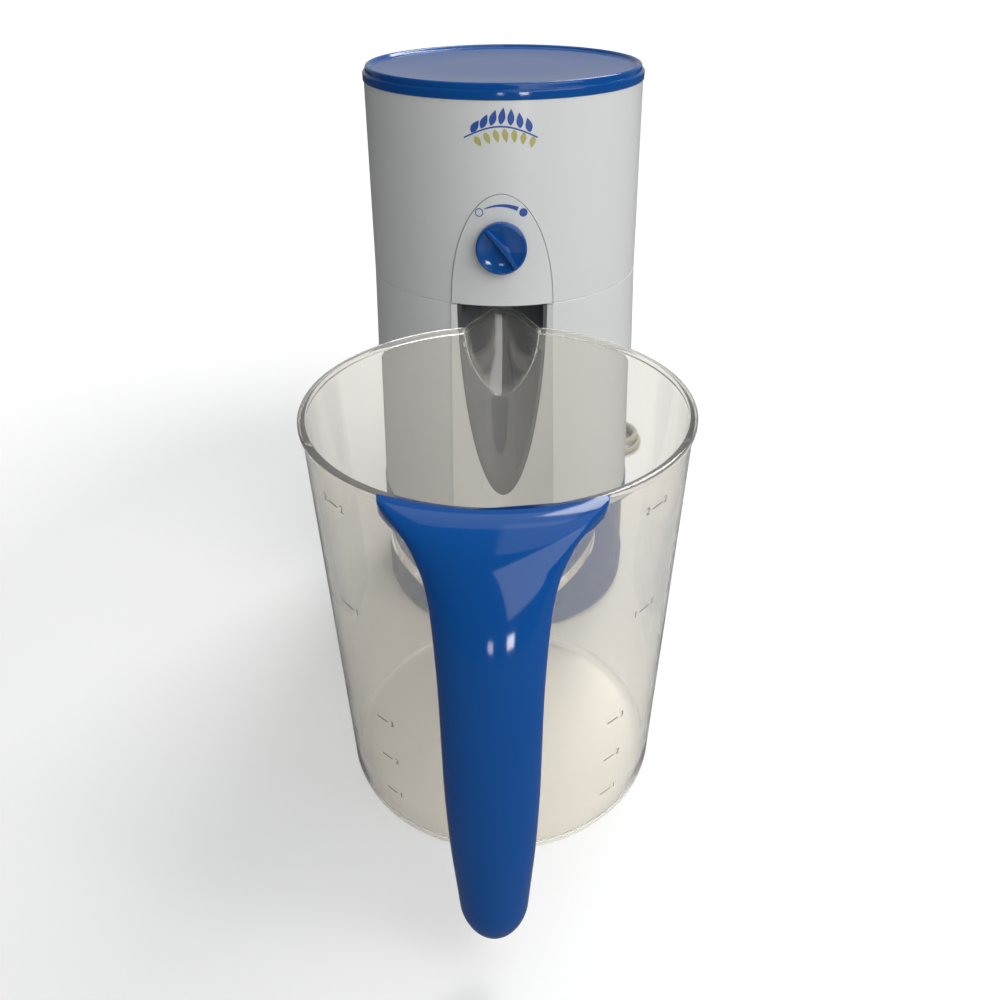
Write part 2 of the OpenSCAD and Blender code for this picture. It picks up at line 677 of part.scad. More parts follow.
plug_w = 24;
plug_t = 2 * last_point[2];
plug_len = 27;
module at_plug() translate([hank_end_x, last_point[1], last_point[2]]) rotate([0, -90, 0]) children();
module plug_body() color(white) at_plug() {
    hull() {
        cylinder(h = 2, r = cord_r + 1.4, $fn = 32);
        for (s = [-1, 1]) translate([0, s * (plug_w / 2 - 7), 9]) cylinder(h = 2, r = 7, $fn = 32);
    }
    hull() for (s = [-1, 1]) translate([0, s * (plug_w - plug_t) / 2, 10.9])
        cylinder(h = plug_len - 10.9, r = plug_t / 2, $fn = 32);
}
blade_gap = 12.7;
module plug_blades() color(steel) at_plug() for (s = [-1, 1])
    translate([-3.2, s * blade_gap / 2 - 0.75, plug_len]) difference() {
        cube([6.4, 1.5, 17]);
        translate([3.2, 3, 13]) rotate([90, 0, 0]) cylinder(h = 6, r = 1.6);
    }

// Brewing head

module arch(grow) rotate([90, 0, 0]) translate([0, seat_z, 0]) linear_extrude(2 * base_r) polygon([
    for (a = [0 : 6 : 180]) [(panel_w + grow) * cos(a), (panel_h + grow) * sin(a)]
]);

chimney_bore = tube_r + 1;
shower_z = head_top_z + lid_t - shower_drop;
boss_y = head_r(dial_z) - wall - 4;
spigot_r = seat_r - wall - 2.4;
nozzle_y = seat_r - 8.5;
nozzle_r = 4.8;
module brew_head() color(white) at_tower() difference() {
    union() {
        rotate_extrude() polygon([
            [0, seat_z],
            [seat_r - 0.5, seat_z],
            [head_r(seat_z + 0.5), seat_z + 0.5],
            [head_top_r, head_top_z],
            [head_top_r - wall, head_top_z],
            [seat_r - wall, floor_z],
            [0, floor_z]
        ]);
        difference() {
            tube(seat_z - 4, seat_z + eps, spigot_r, spigot_r - wall);
            scoop(liner_t + 1);
            translate([-recess_r, -2 * base_r, seat_z - 10]) cube([2 * recess_r, 2 * base_r - recess_r, 10]);
        }
        translate([0, riser_y, 0]) frustum(seat_z, shower_z - 4, chimney_r, chimney_r);
        rod_y(wall - head_r(dial_z) - 1, -boss_y, 2 * shaft_r, z = dial_z);
    }
    translate([0, riser_y, 0]) frustum(seat_z - eps, head_top_z, chimney_bore, chimney_bore);
    translate([0, -nozzle_y, 0]) frustum(seat_z - eps, floor_z + eps, nozzle_r, nozzle_r);
    difference() {
        arch(groove);
        frustum(seat_z - 1, head_top_z, head_r(seat_z - 1) - panel_t, head_top_r - panel_t);
    }
    rod_y(-base_r, -boss_y + 5, shaft_r + running, z = dial_z);
    rod_y(-boss_y - 2, -boss_y + 1, shaft_r + 2, z = dial_z);
}

module control_panel() color(white) at_tower() difference() {
    intersection() {
        arch(0);
        frustum(seat_z + 0.4, head_top_z, head_r(seat_z + 0.4) + band_proud, head_top_r + band_proud);
    }
    frustum(seat_z - 1, head_top_z + 1, head_r(seat_z - 1) - panel_t + fit / 3,
        head_r(head_top_z + 1) - panel_t + fit / 3);
    rod_y(-base_r, 0, shaft_r + 0.5, z = dial_z);
}

module drip_nozzle() color(grey) at_tower() translate([0, -nozzle_y, 0]) difference() {
    union() {
        frustum(seat_z - 3, floor_z, nozzle_r, nozzle_r);
        frustum(floor_z, floor_z + 1.2, nozzle_r + 0.9, nozzle_r + 0.9);
    }
    frustum(seat_z - 4, floor_z + 2, nozzle_r - 1.4, nozzle_r - 1.4);
}

// The dial turns a slotted disc that opens and closes the ports in the valve box
box_w = 30;
box_wall = 2;
box_back = basket_shift + basket_r + 3;
disc_r = 12;
disc_t = 2;
port_ring = 8.4;
port_r = 2.6;
module valve_box() color([0.8, 0.82, 0.84]) at_tower() difference() {
    intersection() {
        translate([-box_w / 2, -base_r, floor_z])
            cube([box_w, base_r - box_back, dial_z + disc_r + 3 - floor_z]);
        frustum(seat_z, head_top_z, seat_r - wall - fit, head_top_r - wall - fit);
    }
    translate([-box_w / 2 + box_wall, -base_r, floor_z - eps])
        cube([box_w - 2 * box_wall, base_r - box_back - box_wall, dial_z + disc_r + 3 - floor_z - box_wall]);
    rod_y(-base_r, 0, shaft_r + running, z = dial_z);
    for (a = [-dial_deg, dial_deg, 180])
        rod_y(-base_r, 0, port_r, x = port_ring * sin(a), z = dial_z + port_ring * cos(a));
}

module shaft_seal() color(rubber) at_tower() translate([0, -boss_y - 1, dial_z]) rotate([-90, 0, 0])
    rotate_extrude() translate([shaft_r + running + 0.95, 0]) circle(0.95, $fn = 24);

disc_y = -box_back - box_wall - disc_t - 0.3;
module valve_disc() color([0.85, 0.85, 0.87]) at_tower() difference() {
    rod_y(disc_y, disc_y + disc_t, disc_r, z = dial_z);
    rod_y(disc_y - 1, disc_y + disc_t + 1, shaft_r, z = dial_z);
    for (a = [-dial_deg : 12 : dial_deg])
        rod_y(disc_y - 1, disc_y + disc_t + 1, port_r, x = port_ring * sin(a), z = dial_z + port_ring * cos(a));
}

dial_y = -(head_r(dial_z) + band_proud + 0.5);
module dial_shaft() color(steel) at_tower() rod_y(dial_y - 2, -box_back + 1, shaft_r, z = dial_z);

dish = 1.6;
module dial() color(blue) at_tower() translate([0, dial_y, dial_z]) rotate([90, 0, 0])
    rotate([0, 0, dial_deg]) difference() {
        union() {
            rotate_extrude() polygon([
                [0, 0],
                [dial_r - 0.5, 0],
                [dial_r, 0.5],
                [dial_r, dial_t - 0.8],
                [dial_r - 0.8, dial_t],
                [dial_r - 1.6, dial_t],
                [dial_r - 3, dial_t - dish],
                [0, dial_t - dish]
            ]);
            intersection() {
                translate([-grip_w / 2, -dial_r, 0]) cube([grip_w, 2 * dial_r, dial_t + grip_rise]);
                cylinder(h = 2 * dial_t + grip_rise, r1 = dial_r - 0.4, r2 = dial_r - 3);
            }
        }
        translate([0, 0, -1]) cylinder(h = 3, r = shaft_r);
    }

// Brewing basket

basket_low_z = floor_z;
basket_top_z = floor_z + basket_h;
cup_r = basket_r - 3;
module basket_frame() color(blue) at_tower() translate([0, -basket_shift, 0]) {
    rotate_extrude() polygon([
        [cup_r, basket_top_z - 6],
        [basket_r, basket_top_z - 5],
        [basket_r, basket_top_z],
        [cup_r, basket_top_z]
    ]);
    rotate_extrude() polygon([
        [cup_r - 6, basket_low_z],
        [cup_r + 1.6, basket_low_z],
        [cup_r + 1.6, basket_low_z + 5],
        [cup_r, basket_low_z + 5],
        [cup_r, basket_low_z + 3],
        [cup_r - 6, basket_low_z + 3]
    ]);
    for (i = [0 : rib_count - 1]) rotate([0, 0, (i + 0.5) * 360 / rib_count]) difference() {
        translate([cup_r - 1, -1.2, basket_low_z + 4]) cube([2.6, 2.4, basket_h - 8]);
        rotate([0, 0, -(i + 0.5) * 360 / rib_count]) frustum(basket_low_z, basket_top_z, cup_r, cup_r);
    }
    difference() {
        translate([-cup_r - 1, -4, basket_top_z - eps]) cube([2 * cup_r + 2, 8, 3]);
        translate([-cup_r + 3, -8, basket_top_z - 1]) cube([2 * cup_r - 6, 16, 2.4]);
    }
}

module basket_mesh() color([0.82, 0.84, 0.86]) at_tower() translate([0, -basket_shift, 0]) difference() {
    frustum(basket_low_z + 3, basket_top_z - 1, cup_r - eps, cup_r - eps);
    frustum(basket_low_z + 3 + mesh_t, basket_top_z, cup_r - mesh_t, cup_r - mesh_t);
}

// Lid and shower plate

lid_r = head_top_r + lid_over;
plug_r = head_top_r - wall - 0.4;
module lid() color(blue) at_tower() translate([0, 0, head_top_z]) {
    rotate_extrude() polygon([
        [0, lid_t],
        [plug_r - 2, lid_t],
        [plug_r - 2, -5],
        [plug_r - 0.6, -5],
        [plug_r, -4],
        [plug_r, 0],
        [lid_r - 0.3, 0],
        [lid_r, 0.3],
        [lid_r, lid_step_h - 0.6],
        [lid_r - 0.6, lid_step_h],
        [lid_r - 1.3, lid_step_h + 0.1],
        [lid_r - 1.5, lid_h - 0.7],
        [lid_r - 2.3, lid_h],
        [lid_r - 3.6, lid_h - 0.1],
        [lid_r - 5, lid_t + 2.6],
        [0, lid_t + 2.2]
    ]);
}

module shower_outline(grow) {
    circle(shower_r + grow);
    translate([-9 - grow, 0]) square([18 + 2 * grow, riser_y]);
    translate([0, riser_y]) circle(9 + grow);
}
module shower_plate() color(white) at_tower() difference() {
    translate([0, 0, shower_z]) linear_extrude(shower_drop) shower_outline(0);
    translate([0, 0, shower_z + 1.6]) linear_extrude(shower_drop) shower_outline(-1.6);
    translate([0, riser_y, shower_z - 1]) cylinder(h = 4, r = tube_r + 0.6);
    for (ring = [[0, 1], [14, 6], [28, 12]]) for (i = [1 : ring[1]]) rotate([0, 0, i * 360 / ring[1]])
        translate([ring[0], 0, shower_z - 1]) cylinder(h = 4, r = 1.4);
}

// Pitcher

function arc(cx, cy, r, a0, a1, n) = [for (i = [0 : n]) let (a = lerp(a0, a1, i / n))
    [cx + r * cos(a), cy + r * sin(a)]];
inner_corner_r = corner_r - pitcher_wall;
// The middle of the bottom is raised a little, so that the pitcher stands on a ring
kick_h = 0.8;
kick_r = pitcher_low_r - corner_r - 17.5;
module pitcher_solid() rotate_extrude() polygon(concat(
    [[0, kick_h], [kick_r - 2, kick_h], [kick_r, 0]],
    arc(pitcher_low_r - corner_r, corner_r, corner_r, -90, 0, 8),
    [
        [pitcher_r(pitcher_h - bead_h), pitcher_h - bead_h],
        [pitcher_top_r + bead_out, pitcher_h - bead_h + 1],
        [pitcher_top_r + bead_out, pitcher_h - 1],
        [pitcher_top_r + bead_out - 1, pitcher_h],
        [0, pitcher_h]
    ]
));
module pitcher_hollow() rotate_extrude() polygon(concat(
    [[0, pitcher_floor]],
    arc(pitcher_low_r - corner_r, pitcher_floor + inner_corner_r, inner_corner_r, -90, 0, 8),
    [[pitcher_top_r - pitcher_wall, pitcher_h - 2], [pitcher_top_r - pitcher_wall + 1, pitcher_h + eps],
        [0, pitcher_h + eps]]
));

// The spout widens from its root on the wall to a pointed lip that rises over the rim
spout_top_z = pitcher_h + spout_rise;
spout_side_r = 4;
spout_floor = 4;
module spout(grow, lift) hull() {
    translate([0, pitcher_r(pitcher_h - spout_drop) - spout_side_r + 1, pitcher_h - spout_drop + lift])
        cylinder(h = 2, r = spout_side_r + grow, $fn = 32);
    for (s = [-1, 1]) translate([s * (spout_w / 2 - spout_side_r), pitcher_top_r - 5, pitcher_h - 6 + lift])
        cylinder(h = 6, r = spout_side_r + grow, $fn = 32);
    translate([0, pitcher_top_r + spout_reach - spout_tip_r, spout_top_z - 7 + lift])
        cylinder(h = 7, r = spout_tip_r + grow, $fn = 32);
}

socket_top_z = pitcher_h - 1 - root_h - 2;
function socket_half(d, grow) = (socket_w + grow) * (1 - pow(d / (socket_h + grow), 1.8));
module socket_outline(grow) polygon(concat(
    [for (i = [0 : 10]) let (d = i / 10 * (socket_h + grow)) [socket_half(d, grow), socket_top_z - d]],
    [for (i = [9 : -1 : 0]) let (d = i / 10 * (socket_h + grow)) [-socket_half(d, grow), socket_top_z - d]]
));
module socket_rib() intersection() {
    rotate([90, 0, 0]) linear_extrude(2 * pitcher_top_r) difference() {
        socket_outline(0);
        translate([0, 3]) socket_outline(-pitcher_wall);
    }
    frustum(corner_r, pitcher_h, pitcher_low_r + socket_out, pitcher_top_r + socket_out);
}

water_deg = 40;
ice_deg = 49.5;
module mark(z, a) rotate([0, 0, a - 90]) translate([pitcher_r(z) + mark_out - 1, -mark_len / 2, z - 0.4])
    cube([1, mark_len, 0.8]);
module marks() for (s = [-1, 1]) {
    for (z = water_marks) mark(z, s * water_deg);
    for (z = ice_marks) mark(z, s * ice_deg);
}

// A flat tongue under the rim reaches into the handle's root, where two screws hold it
tongue_w = 30;
tongue_t = 3;
tongue_out = 8;
tongue_z = pitcher_h - 1 - split * root_h;
tongue_screw_x = 9;
root_gap = 0.3;
root_r = pitcher_top_r + bead_out + root_gap;
module tongue(grow) translate([-tongue_w / 2 - grow, -root_r - tongue_out - grow, tongue_z - tongue_t / 2 - grow])
    cube([tongue_w + 2 * grow, tongue_out + bead_out + 3 + grow, tongue_t + 2 * grow]);
module tongue_screws(z0, z1, r) for (s = [-1, 1])
    translate([s * tongue_screw_x, -root_r - tongue_out / 2, z0]) cylinder(h = z1 - z0, r = r);
screw_seat_z = tongue_z - tongue_t / 2 - 2.4;
screw_top_z = tongue_z + tongue_t / 2 + 2.4;

module pitcher_body() color(clear) at_pitcher() difference() {
    union() {
        pitcher_solid();
        spout(0, 0);
        socket_rib();
        marks();
        tongue(0);
    }
    pitcher_hollow();
    spout(-pitcher_wall + 0.2, spout_floor);
    tongue_screws(tongue_z - 5, tongue_z + 5, screw_r);
}

// The handle follows one curve, from the rim outwards and down to its free end. It starts a little
// inside the rim, and is cut back to the rim's round
root_z = pitcher_h - 1;
root_in = 1;
module rim_cut() frustum(root_z - 2 * root_h, root_z + 2, root_r, root_r);
curve = [
    [root_r - root_in, root_z],
    [root_r + 0.53 * (handle_reach - root_r), root_z],
    [root_r + 0.96 * (handle_reach - root_r), root_z - 34],
    [handle_reach, handle_low_z]
];
function bezier(p, t) = pow(1 - t, 3) * p[0] + 3 * t * pow(1 - t, 2) * p[1] + 3 * t * t * (1 - t) * p[2]
    + pow(t, 3) * p[3];
function slope(p, t) = 3 * pow(1 - t, 2) * (p[1] - p[0]) + 6 * t * (1 - t) * (p[2] - p[1])
    + 3 * t * t * (p[3] - p[2]);
end_t = 0.9;
function round_end(t) = t < end_t ? 1 : sqrt(max(0.03, 1 - pow((t - end_t) / (1.005 - end_t), 2)));
function handle_w(t) = (grip_low_w + 14 * (1 - t) + (flare_w - grip_low_w - 14) * exp(-t / 0.1)) * round_end(t);
function handle_d(t) = lerp(root_h, grip_depth, clamp(t / 0.4, 0, 1)) * round_end(t);
function hollow(t) = clamp(min((t - 0.1) / 0.08, (0.94 - t) / 0.06), 0.04, 1);
function rim_bend(x, t) = (root_r - sqrt(root_r * root_r - x * x)) * clamp(1 - t / 0.25, 0, 1);
// One point of a section: x across, d inwards from the front surface
function place(t, x, d) = let (p = bezier(curve, t), g = slope(curve, t), l = norm(g))
    [x, -(p[0] + d * g[1] / l - rim_bend(x, t) * g[0] / l), p[1] - d * g[0] / l];
function soft(v) = sign(v) * pow(abs(v), 0.8);
// Half of a section, as an arc of the outer wall and one of the hollow; side is 1 in front, -1 behind
sides = 14;
function half_arc(t, side, w, depth, edge) = [for (i = [0 : sides]) let (a = 180 * i / sides)
    place(t, w / 2 * soft(cos(a)), edge - side * depth * soft(sin(a)))];
function half_ring(t, side) = let (
    w = handle_w(t), d = handle_d(t),
    edge = split * d - side * seam,
    depth = side > 0 ? split * d - seam : (1 - split) * d - seam,
    in_w = max(0.6, (w - 2 * handle_wall) * hollow(t)),
    in_d = max(0.15, (depth - handle_wall) * hollow(t))
) concat(half_arc(t, side, w, depth, edge), reverse(half_arc(t, side, in_w, in_d, edge)));
function reverse(v) = [for (i = [len(v) - 1 : -1 : 0]) v[i]];
// Sections lie closer together near the root and round the free end
stations = 34;
end_stations = 10;
function station_t(i) = i < stations - end_stations
    ? let (u = i / (stations - end_stations)) end_t * lerp(u * u, u, 0.55)
    : lerp(end_t, 1, sin(90 * (i - stations + end_stations) / (end_stations - 1)));
module handle_half(side) {
    n = 2 * (sides + 1);
    points = [for (i = [0 : stations - 1]) each half_ring(station_t(i), side)];
    walls = [for (i = [0 : stations - 2]) for (j = [0 : n - 1]) let (
        a = i * n + j, b = i * n + (j + 1) % n, c = a + n, d = b + n) each [[a, c, b], [b, c, d]]];
    caps = [for (e = [0, 1]) for (j = [0 : sides - 1]) let (
        o = e * (stations - 1) * n, a = o + j, b = o + j + 1, c = o + n - 1 - j, d = o + n - 2 - j)
        each (e == 0 ? [[a, b, c], [b, d, c]] : [[a, c, b], [b, c, d]])];
    faces = concat(walls, caps);
    polyhedron(points, side > 0 ? faces : [for (f = faces) reverse(f)]);
}
module handle_front() color(blue) at_pitcher() difference() {
    handle_half(1);
    rim_cut();
    tongue(fit);
    tongue_screws(tongue_z - 5, screw_top_z, screw_r);
}
module handle_back() color(blue) at_pitcher() difference() {
    handle_half(-1);
    rim_cut();
    tongue(fit);
    tongue_screws(tongue_z - 20, tongue_z + 5, screw_r);
    tongue_screws(tongue_z - 20, screw_seat_z, screw_head_r + fit);
}

module handle_screws() color(steel) at_pitcher() {
    tongue_screws(screw_seat_z - 1.8, screw_seat_z, screw_head_r);
    tongue_screws(screw_seat_z - 0.5, screw_top_z - 1, screw_r);
}

base_skirt();
bottom_cover();
feet();
cover_screws();
body_shell();
recess_liner();
water_tank();
riser_tube();
riser_grommet();
heater_block();
heater_strap();
strap_screws();
heater_terminals();
thermostat();
thermal_fuse();
inlet_hoses();
check_valve();
outlet_hose();
switch_bezel();
switch_rocker();
cord_gland();
brew_head();
control_panel();
drip_nozzle();
valve_box();
shaft_seal();
valve_disc();
dial_shaft();
dial();
basket_frame();
basket_mesh();
lid();
shower_plate();
pitcher_body();
handle_front();
handle_back();
handle_screws();
cord_lead();
cord_hank();
cord_tie();
plug_body();
plug_blades();
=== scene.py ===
# %% [markdown]
# # An iced tea maker
# The real thing is two objects that stand together: a round brewing tower, and a clear pitcher that
# docks against it. Their sizes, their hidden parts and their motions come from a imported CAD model.
# This script loads that model as a fixed frame and dresses it. Visible pieces are modelled again with
# softer edges and finer forms, and every piece gets the finish of its real material.

# %% Load the frame
import json
import math

import bmesh
import bpy
from mathutils import Matrix, Vector


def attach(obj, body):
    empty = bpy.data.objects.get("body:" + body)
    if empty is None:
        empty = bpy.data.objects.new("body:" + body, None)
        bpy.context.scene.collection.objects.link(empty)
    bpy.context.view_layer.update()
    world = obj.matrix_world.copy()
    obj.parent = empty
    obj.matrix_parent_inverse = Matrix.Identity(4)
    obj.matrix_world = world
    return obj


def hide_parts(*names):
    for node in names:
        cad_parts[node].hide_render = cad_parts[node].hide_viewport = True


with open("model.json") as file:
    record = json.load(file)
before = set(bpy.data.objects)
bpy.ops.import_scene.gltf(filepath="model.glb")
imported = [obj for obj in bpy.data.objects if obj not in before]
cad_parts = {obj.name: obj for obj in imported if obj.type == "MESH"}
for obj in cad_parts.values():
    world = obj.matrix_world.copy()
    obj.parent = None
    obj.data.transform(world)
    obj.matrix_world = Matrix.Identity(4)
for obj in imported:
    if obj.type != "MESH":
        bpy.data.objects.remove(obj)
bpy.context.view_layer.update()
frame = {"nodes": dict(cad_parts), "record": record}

nodes = frame["nodes"]
MM = 0.001
TOWER = Vector((0, 0.109, 0))
PITCHER = Vector((0, -0.054, 0))

# %% [markdown]
# ## The camera
# It stands over the pitcher's handle and looks down at the tower by about 33 degrees. A lens of 32 mm
# is rather wide, which is why the pitcher looks so much larger than the tower behind it. The turns
# are applied from right to left: a slight roll, the tilt, and a small swing to the side.

# %% Place the camera
camera = bpy.data.objects.new("camera", bpy.data.cameras.new("camera"))
bpy.context.scene.collection.objects.link(camera)
camera.data.lens = 32.32
camera.data.sensor_width = 36
camera.data.shift_x = -0.0057
camera.data.shift_y = -0.0018
EYE, SWING_DEG, DOWN_DEG, ROLL = (0.0103, -0.3967, 0.375), 1.2, 33.18, -0.0067
camera.matrix_world = (
    Matrix.Translation(EYE)
    @ Matrix.Rotation(math.radians(SWING_DEG), 4, "Z")
    @ Matrix.Rotation(math.radians(90 - DOWN_DEG), 4, "X")
    @ Matrix.Rotation(ROLL, 4, "Z")
)
bpy.context.scene.camera = camera
bpy.context.scene.view_settings.view_transform = "Standard"
print("camera at", [round(v, 3) for v in camera.matrix_world.translation])

# %% [markdown]
# ## The mains cord
# A short kitchen cord of 650 mm leaves the foot of the tower at the back, drops to the table and is
# folded into a flat hank. A curve with a round bevel is the natural way to draw it: its line is the
# cord's own centre line. The curve is then made a mesh, because a mesh knows its true box. The route
# repeats the one that the CAD solids follow: the lead down to the table, then the hank's runs and
# folds, each a little further out than the last, and a straight end into the plug.

# %% Lay the cord along its route
CORD_R = 2.7
HANK_X, HANK_Y, HALF_RUN = 46, 263.3, 45
cord_route = [
    (-34.9, 204.8, 15.5), (-36.4, 211.9, 15), (-36, 218.8, 13.7), (-33.6, 225.5, 11.9),
    (-29.5, 231.4, 9.8), (-24, 235.9, 7.6), (-17.5, 238.7, 5.6), (-10.5, 239.7, 4.1), (-4.8, 239.7, 3.3),
]


def hank_point(turns):
    """The hank's line in mm after some turns: front run, right fold, back run, left fold."""
    quarter, f = divmod(4 * (turns % 1), 1)
    r = 16.2 + 6.6 * abs(turns - 1.125)
    draw = 12.5 * (1 - math.cos(2 * math.pi * f)) / 2
    c = min(1, max(0, 4 * (turns - 1)))
    z = 3.15 + 5.85 * c * c * (3 - 2 * c)
    turn = math.pi * f
    return [
        (HANK_X + HALF_RUN * (2 * f - 1), HANK_Y - r + draw, z),
        (HANK_X + HALF_RUN + r * math.sin(turn), HANK_Y - r * math.cos(turn), z),
        (HANK_X + HALF_RUN * (1 - 2 * f), HANK_Y + r - draw, z),
        (HANK_X - HALF_RUN - r * math.sin(turn), HANK_Y + r * math.cos(turn), z),
    ][int(quarter)]


cord_route += [hank_point(i / 24) for i in range(42)] + [hank_point(1.7499)]
cord_route += [(x, cord_route[-1][1], cord_route[-1][2]) for x in (-12, -22, -30)]
cord_length = sum((Vector(a) - Vector(b)).length for a, b in zip(cord_route, cord_route[1:])) * MM
print("cord:", len(cord_route), "points,", round(cord_length, 4), "m")

# %% [markdown]
# ### From line to tube
# The curve's free handles are set to AUTO, so that it runs smoothly through every point. What Blender
# would show is taken as a mesh. Its end caps are merged on, and only the long side faces are smooth.

# %% Draw the cord as a tube
cord_line = bpy.data.curves.new("mains_cord", "CURVE")
cord_line.dimensions = "3D"
cord_line.bevel_depth = CORD_R * MM
cord_line.bevel_resolution = 5
cord_line.use_fill_caps = True
spline = cord_line.splines.new("BEZIER")
spline.resolution_u = 6
spline.bezier_points.add(len(cord_route) - 1)
for bezier, place in zip(spline.bezier_points, cord_route):
    bezier.co = Vector(place) * MM
    bezier.handle_left_type = bezier.handle_right_type = "AUTO"
drawn = bpy.data.objects.new("mains_cord_line", cord_line)
bpy.context.scene.collection.objects.link(drawn)
seen_now = bpy.context.evaluated_depsgraph_get()
cord_mesh = bpy.data.meshes.new_from_object(drawn.evaluated_get(seen_now))
bpy.data.objects.remove(drawn)
bm = bmesh.new()
bm.from_mesh(cord_mesh)
bmesh.ops.remove_doubles(bm, verts=bm.verts, dist=1e-6)
bmesh.ops.recalc_face_normals(bm, faces=bm.faces)
for face in bm.faces:
    face.smooth = len(face.verts) == 4
bm.to_mesh(cord_mesh)
bm.free()
cord = bpy.data.objects.new("mains_cord", cord_mesh)
bpy.context.scene.collection.objects.link(cord)
print("cord tube:", len(cord_mesh.polygons), "faces")

# %% [markdown]
# ## Shader nodes
# Every material here is a small tree of nodes. Two helpers keep the trees short to read: one adds a
# node with its settings and links, and one makes an empty material with its output.

# %% Helpers for materials


def node(tree, kind, inputs=None, **settings):
    """Adds one node: settings are its own properties, inputs are values or sockets by name or number."""
    made = tree.nodes.new(kind)
    for name, value in settings.items():
        setattr(made, name, value)
    for name, value in (inputs or {}).items():
        if isinstance(value, bpy.types.NodeSocket):
            tree.links.new(value, made.inputs[name])
        else:
            made.inputs[name].default_value = value
    return made


def new_material(name):
    """An empty node material with its output, as (material, tree, output)."""
    material = bpy.data.materials.new(name)
    material.use_nodes = True
    material.node_tree.nodes.clear()
    return material, material.node_tree, node(material.node_tree, "ShaderNodeOutputMaterial")


# %% [markdown]
# ## The floor
# The object stands on plain white paper. Near it nearly all of the paper's brightness comes from the
# lamps, so it takes the shadow. Between 0.35 and 0.9 m out it turns into an even glow, for the camera
# only, so that the ground fades to white with no edge. The paper is white for the camera and for what
# is seen through the clear pitcher, a mid grey for the light that it sends back on the object, and
# darker in gloss, where it would otherwise veil the deep blue.

# %% Lay the floor
PAPER_TO, GLOW_FROM = 0.35, 0.9
WHITE, MID_GREY, DARK_GREY = ((grey, grey, grey, 1) for grey in (1, 0.5, 0.2))
bm = bmesh.new()
bmesh.ops.create_grid(bm, x_segments=1, y_segments=1, size=8)
floor_mesh = bpy.data.meshes.new("floor")
bm.to_mesh(floor_mesh)
bm.free()
floor = bpy.data.objects.new("floor", floor_mesh)
bpy.context.scene.collection.objects.link(floor)
white_floor, tree, output = new_material("white_floor")
rays = node(tree, "ShaderNodeLightPath").outputs
where = node(tree, "ShaderNodeTexCoord").outputs["Object"]
away = node(tree, "ShaderNodeVectorMath", {0: where}, operation="LENGTH")
outwards = {"Value": away.outputs["Value"], 1: PAPER_TO, 2: GLOW_FROM}
share = node(tree, "ShaderNodeMapRange", outwards | {3: 0.05, 4: 1.0})
power = node(tree, "ShaderNodeMapRange", outwards | {3: 1.5, 4: 1.05})
glow = node(tree, "ShaderNodeMath", {0: rays["Is Camera Ray"], 1: share.outputs[0]},
            operation="MULTIPLY")
direct = node(tree, "ShaderNodeMath", {0: rays["Is Camera Ray"], 1: rays["Is Transmission Ray"]},
              operation="MAXIMUM")
dim = node(tree, "ShaderNodeMix", {0: rays["Is Glossy Ray"], 6: MID_GREY, 7: DARK_GREY}, data_type="RGBA")
shade = node(tree, "ShaderNodeMix", {0: direct.outputs[0], 6: dim.outputs[2], 7: WHITE}, data_type="RGBA")
paper = node(tree, "ShaderNodeBsdfDiffuse", {"Color": shade.outputs[2]})
light = node(tree, "ShaderNodeEmission", {"Color": WHITE, "Strength": power.outputs[0]})
mix = node(tree, "ShaderNodeMixShader", {0: glow.outputs[0], 1: paper.outputs[0], 2: light.outputs[0]})
tree.links.new(mix.outputs[0], output.inputs["Surface"])
floor_mesh.materials.append(white_floor)
print("floor:", [round(side) for side in floor.dimensions], "m")

# %% [markdown]
# ## The lamps
# The light is that of a room with one large window: strong and soft from the right and the front,
# weaker from behind, and hardly any from the left, so the tower is bright on its right and grey on its
# left. Each lamp is a soft panel, given by its place, the point it faces, its size in metres and its
# power in watts. The three panes only show in gloss and shed no light on dull faces: a wide dim one
# overhead, and two small ones in front, which stand for window panes far away.

# %% Hang the lamps
for name, place, aim, size, power in (
    ("window_right", (0.97, -1.1, 1.2), (0, 0.02, 0.15), (1.9, 1.4), 23.5),
    ("window_behind", (0.55, 1.2, 1.5), (0, -0.05, 0.1), (0.7, 0.7), 15),
    ("ceiling", (0.75, 0.0, 1.9), (0.75, 0.0, 0.0), (1.5, 1.5), 8),
    ("pane_over", (-0.1, 1.0, 2.0), (0, -0.15, 0.2), (1.2, 1.0), 4),
    ("pane_a", (-0.05, -2.2, 0.23), (0, -0.17, 0.16), (0.17, 0.17), 1.3),
    ("pane_b", (0.64, -2.0, 0.25), (0, -0.17, 0.16), (0.26, 0.2), 4.5),
):
    lamp = bpy.data.lights.new(name, "AREA")
    lamp.shape = "RECTANGLE"
    lamp.size, lamp.size_y = size
    lamp.energy = power
    holder = bpy.data.objects.new(name, lamp)
    holder.location = place
    holder.rotation_euler = (Vector(aim) - Vector(place)).to_track_quat("-Z", "Y").to_euler()
    holder.visible_diffuse = not name.startswith("pane")
    bpy.context.scene.collection.objects.link(holder)

# %% [markdown]
# ## The room's air
# Behind everything is white, for the camera and through clear plastic. As light it is a faint even
# glow from all sides. In gloss the room is dark, apart from a pale wall behind the object: so the lid
# mirrors the wall, and the handle stays deep blue.

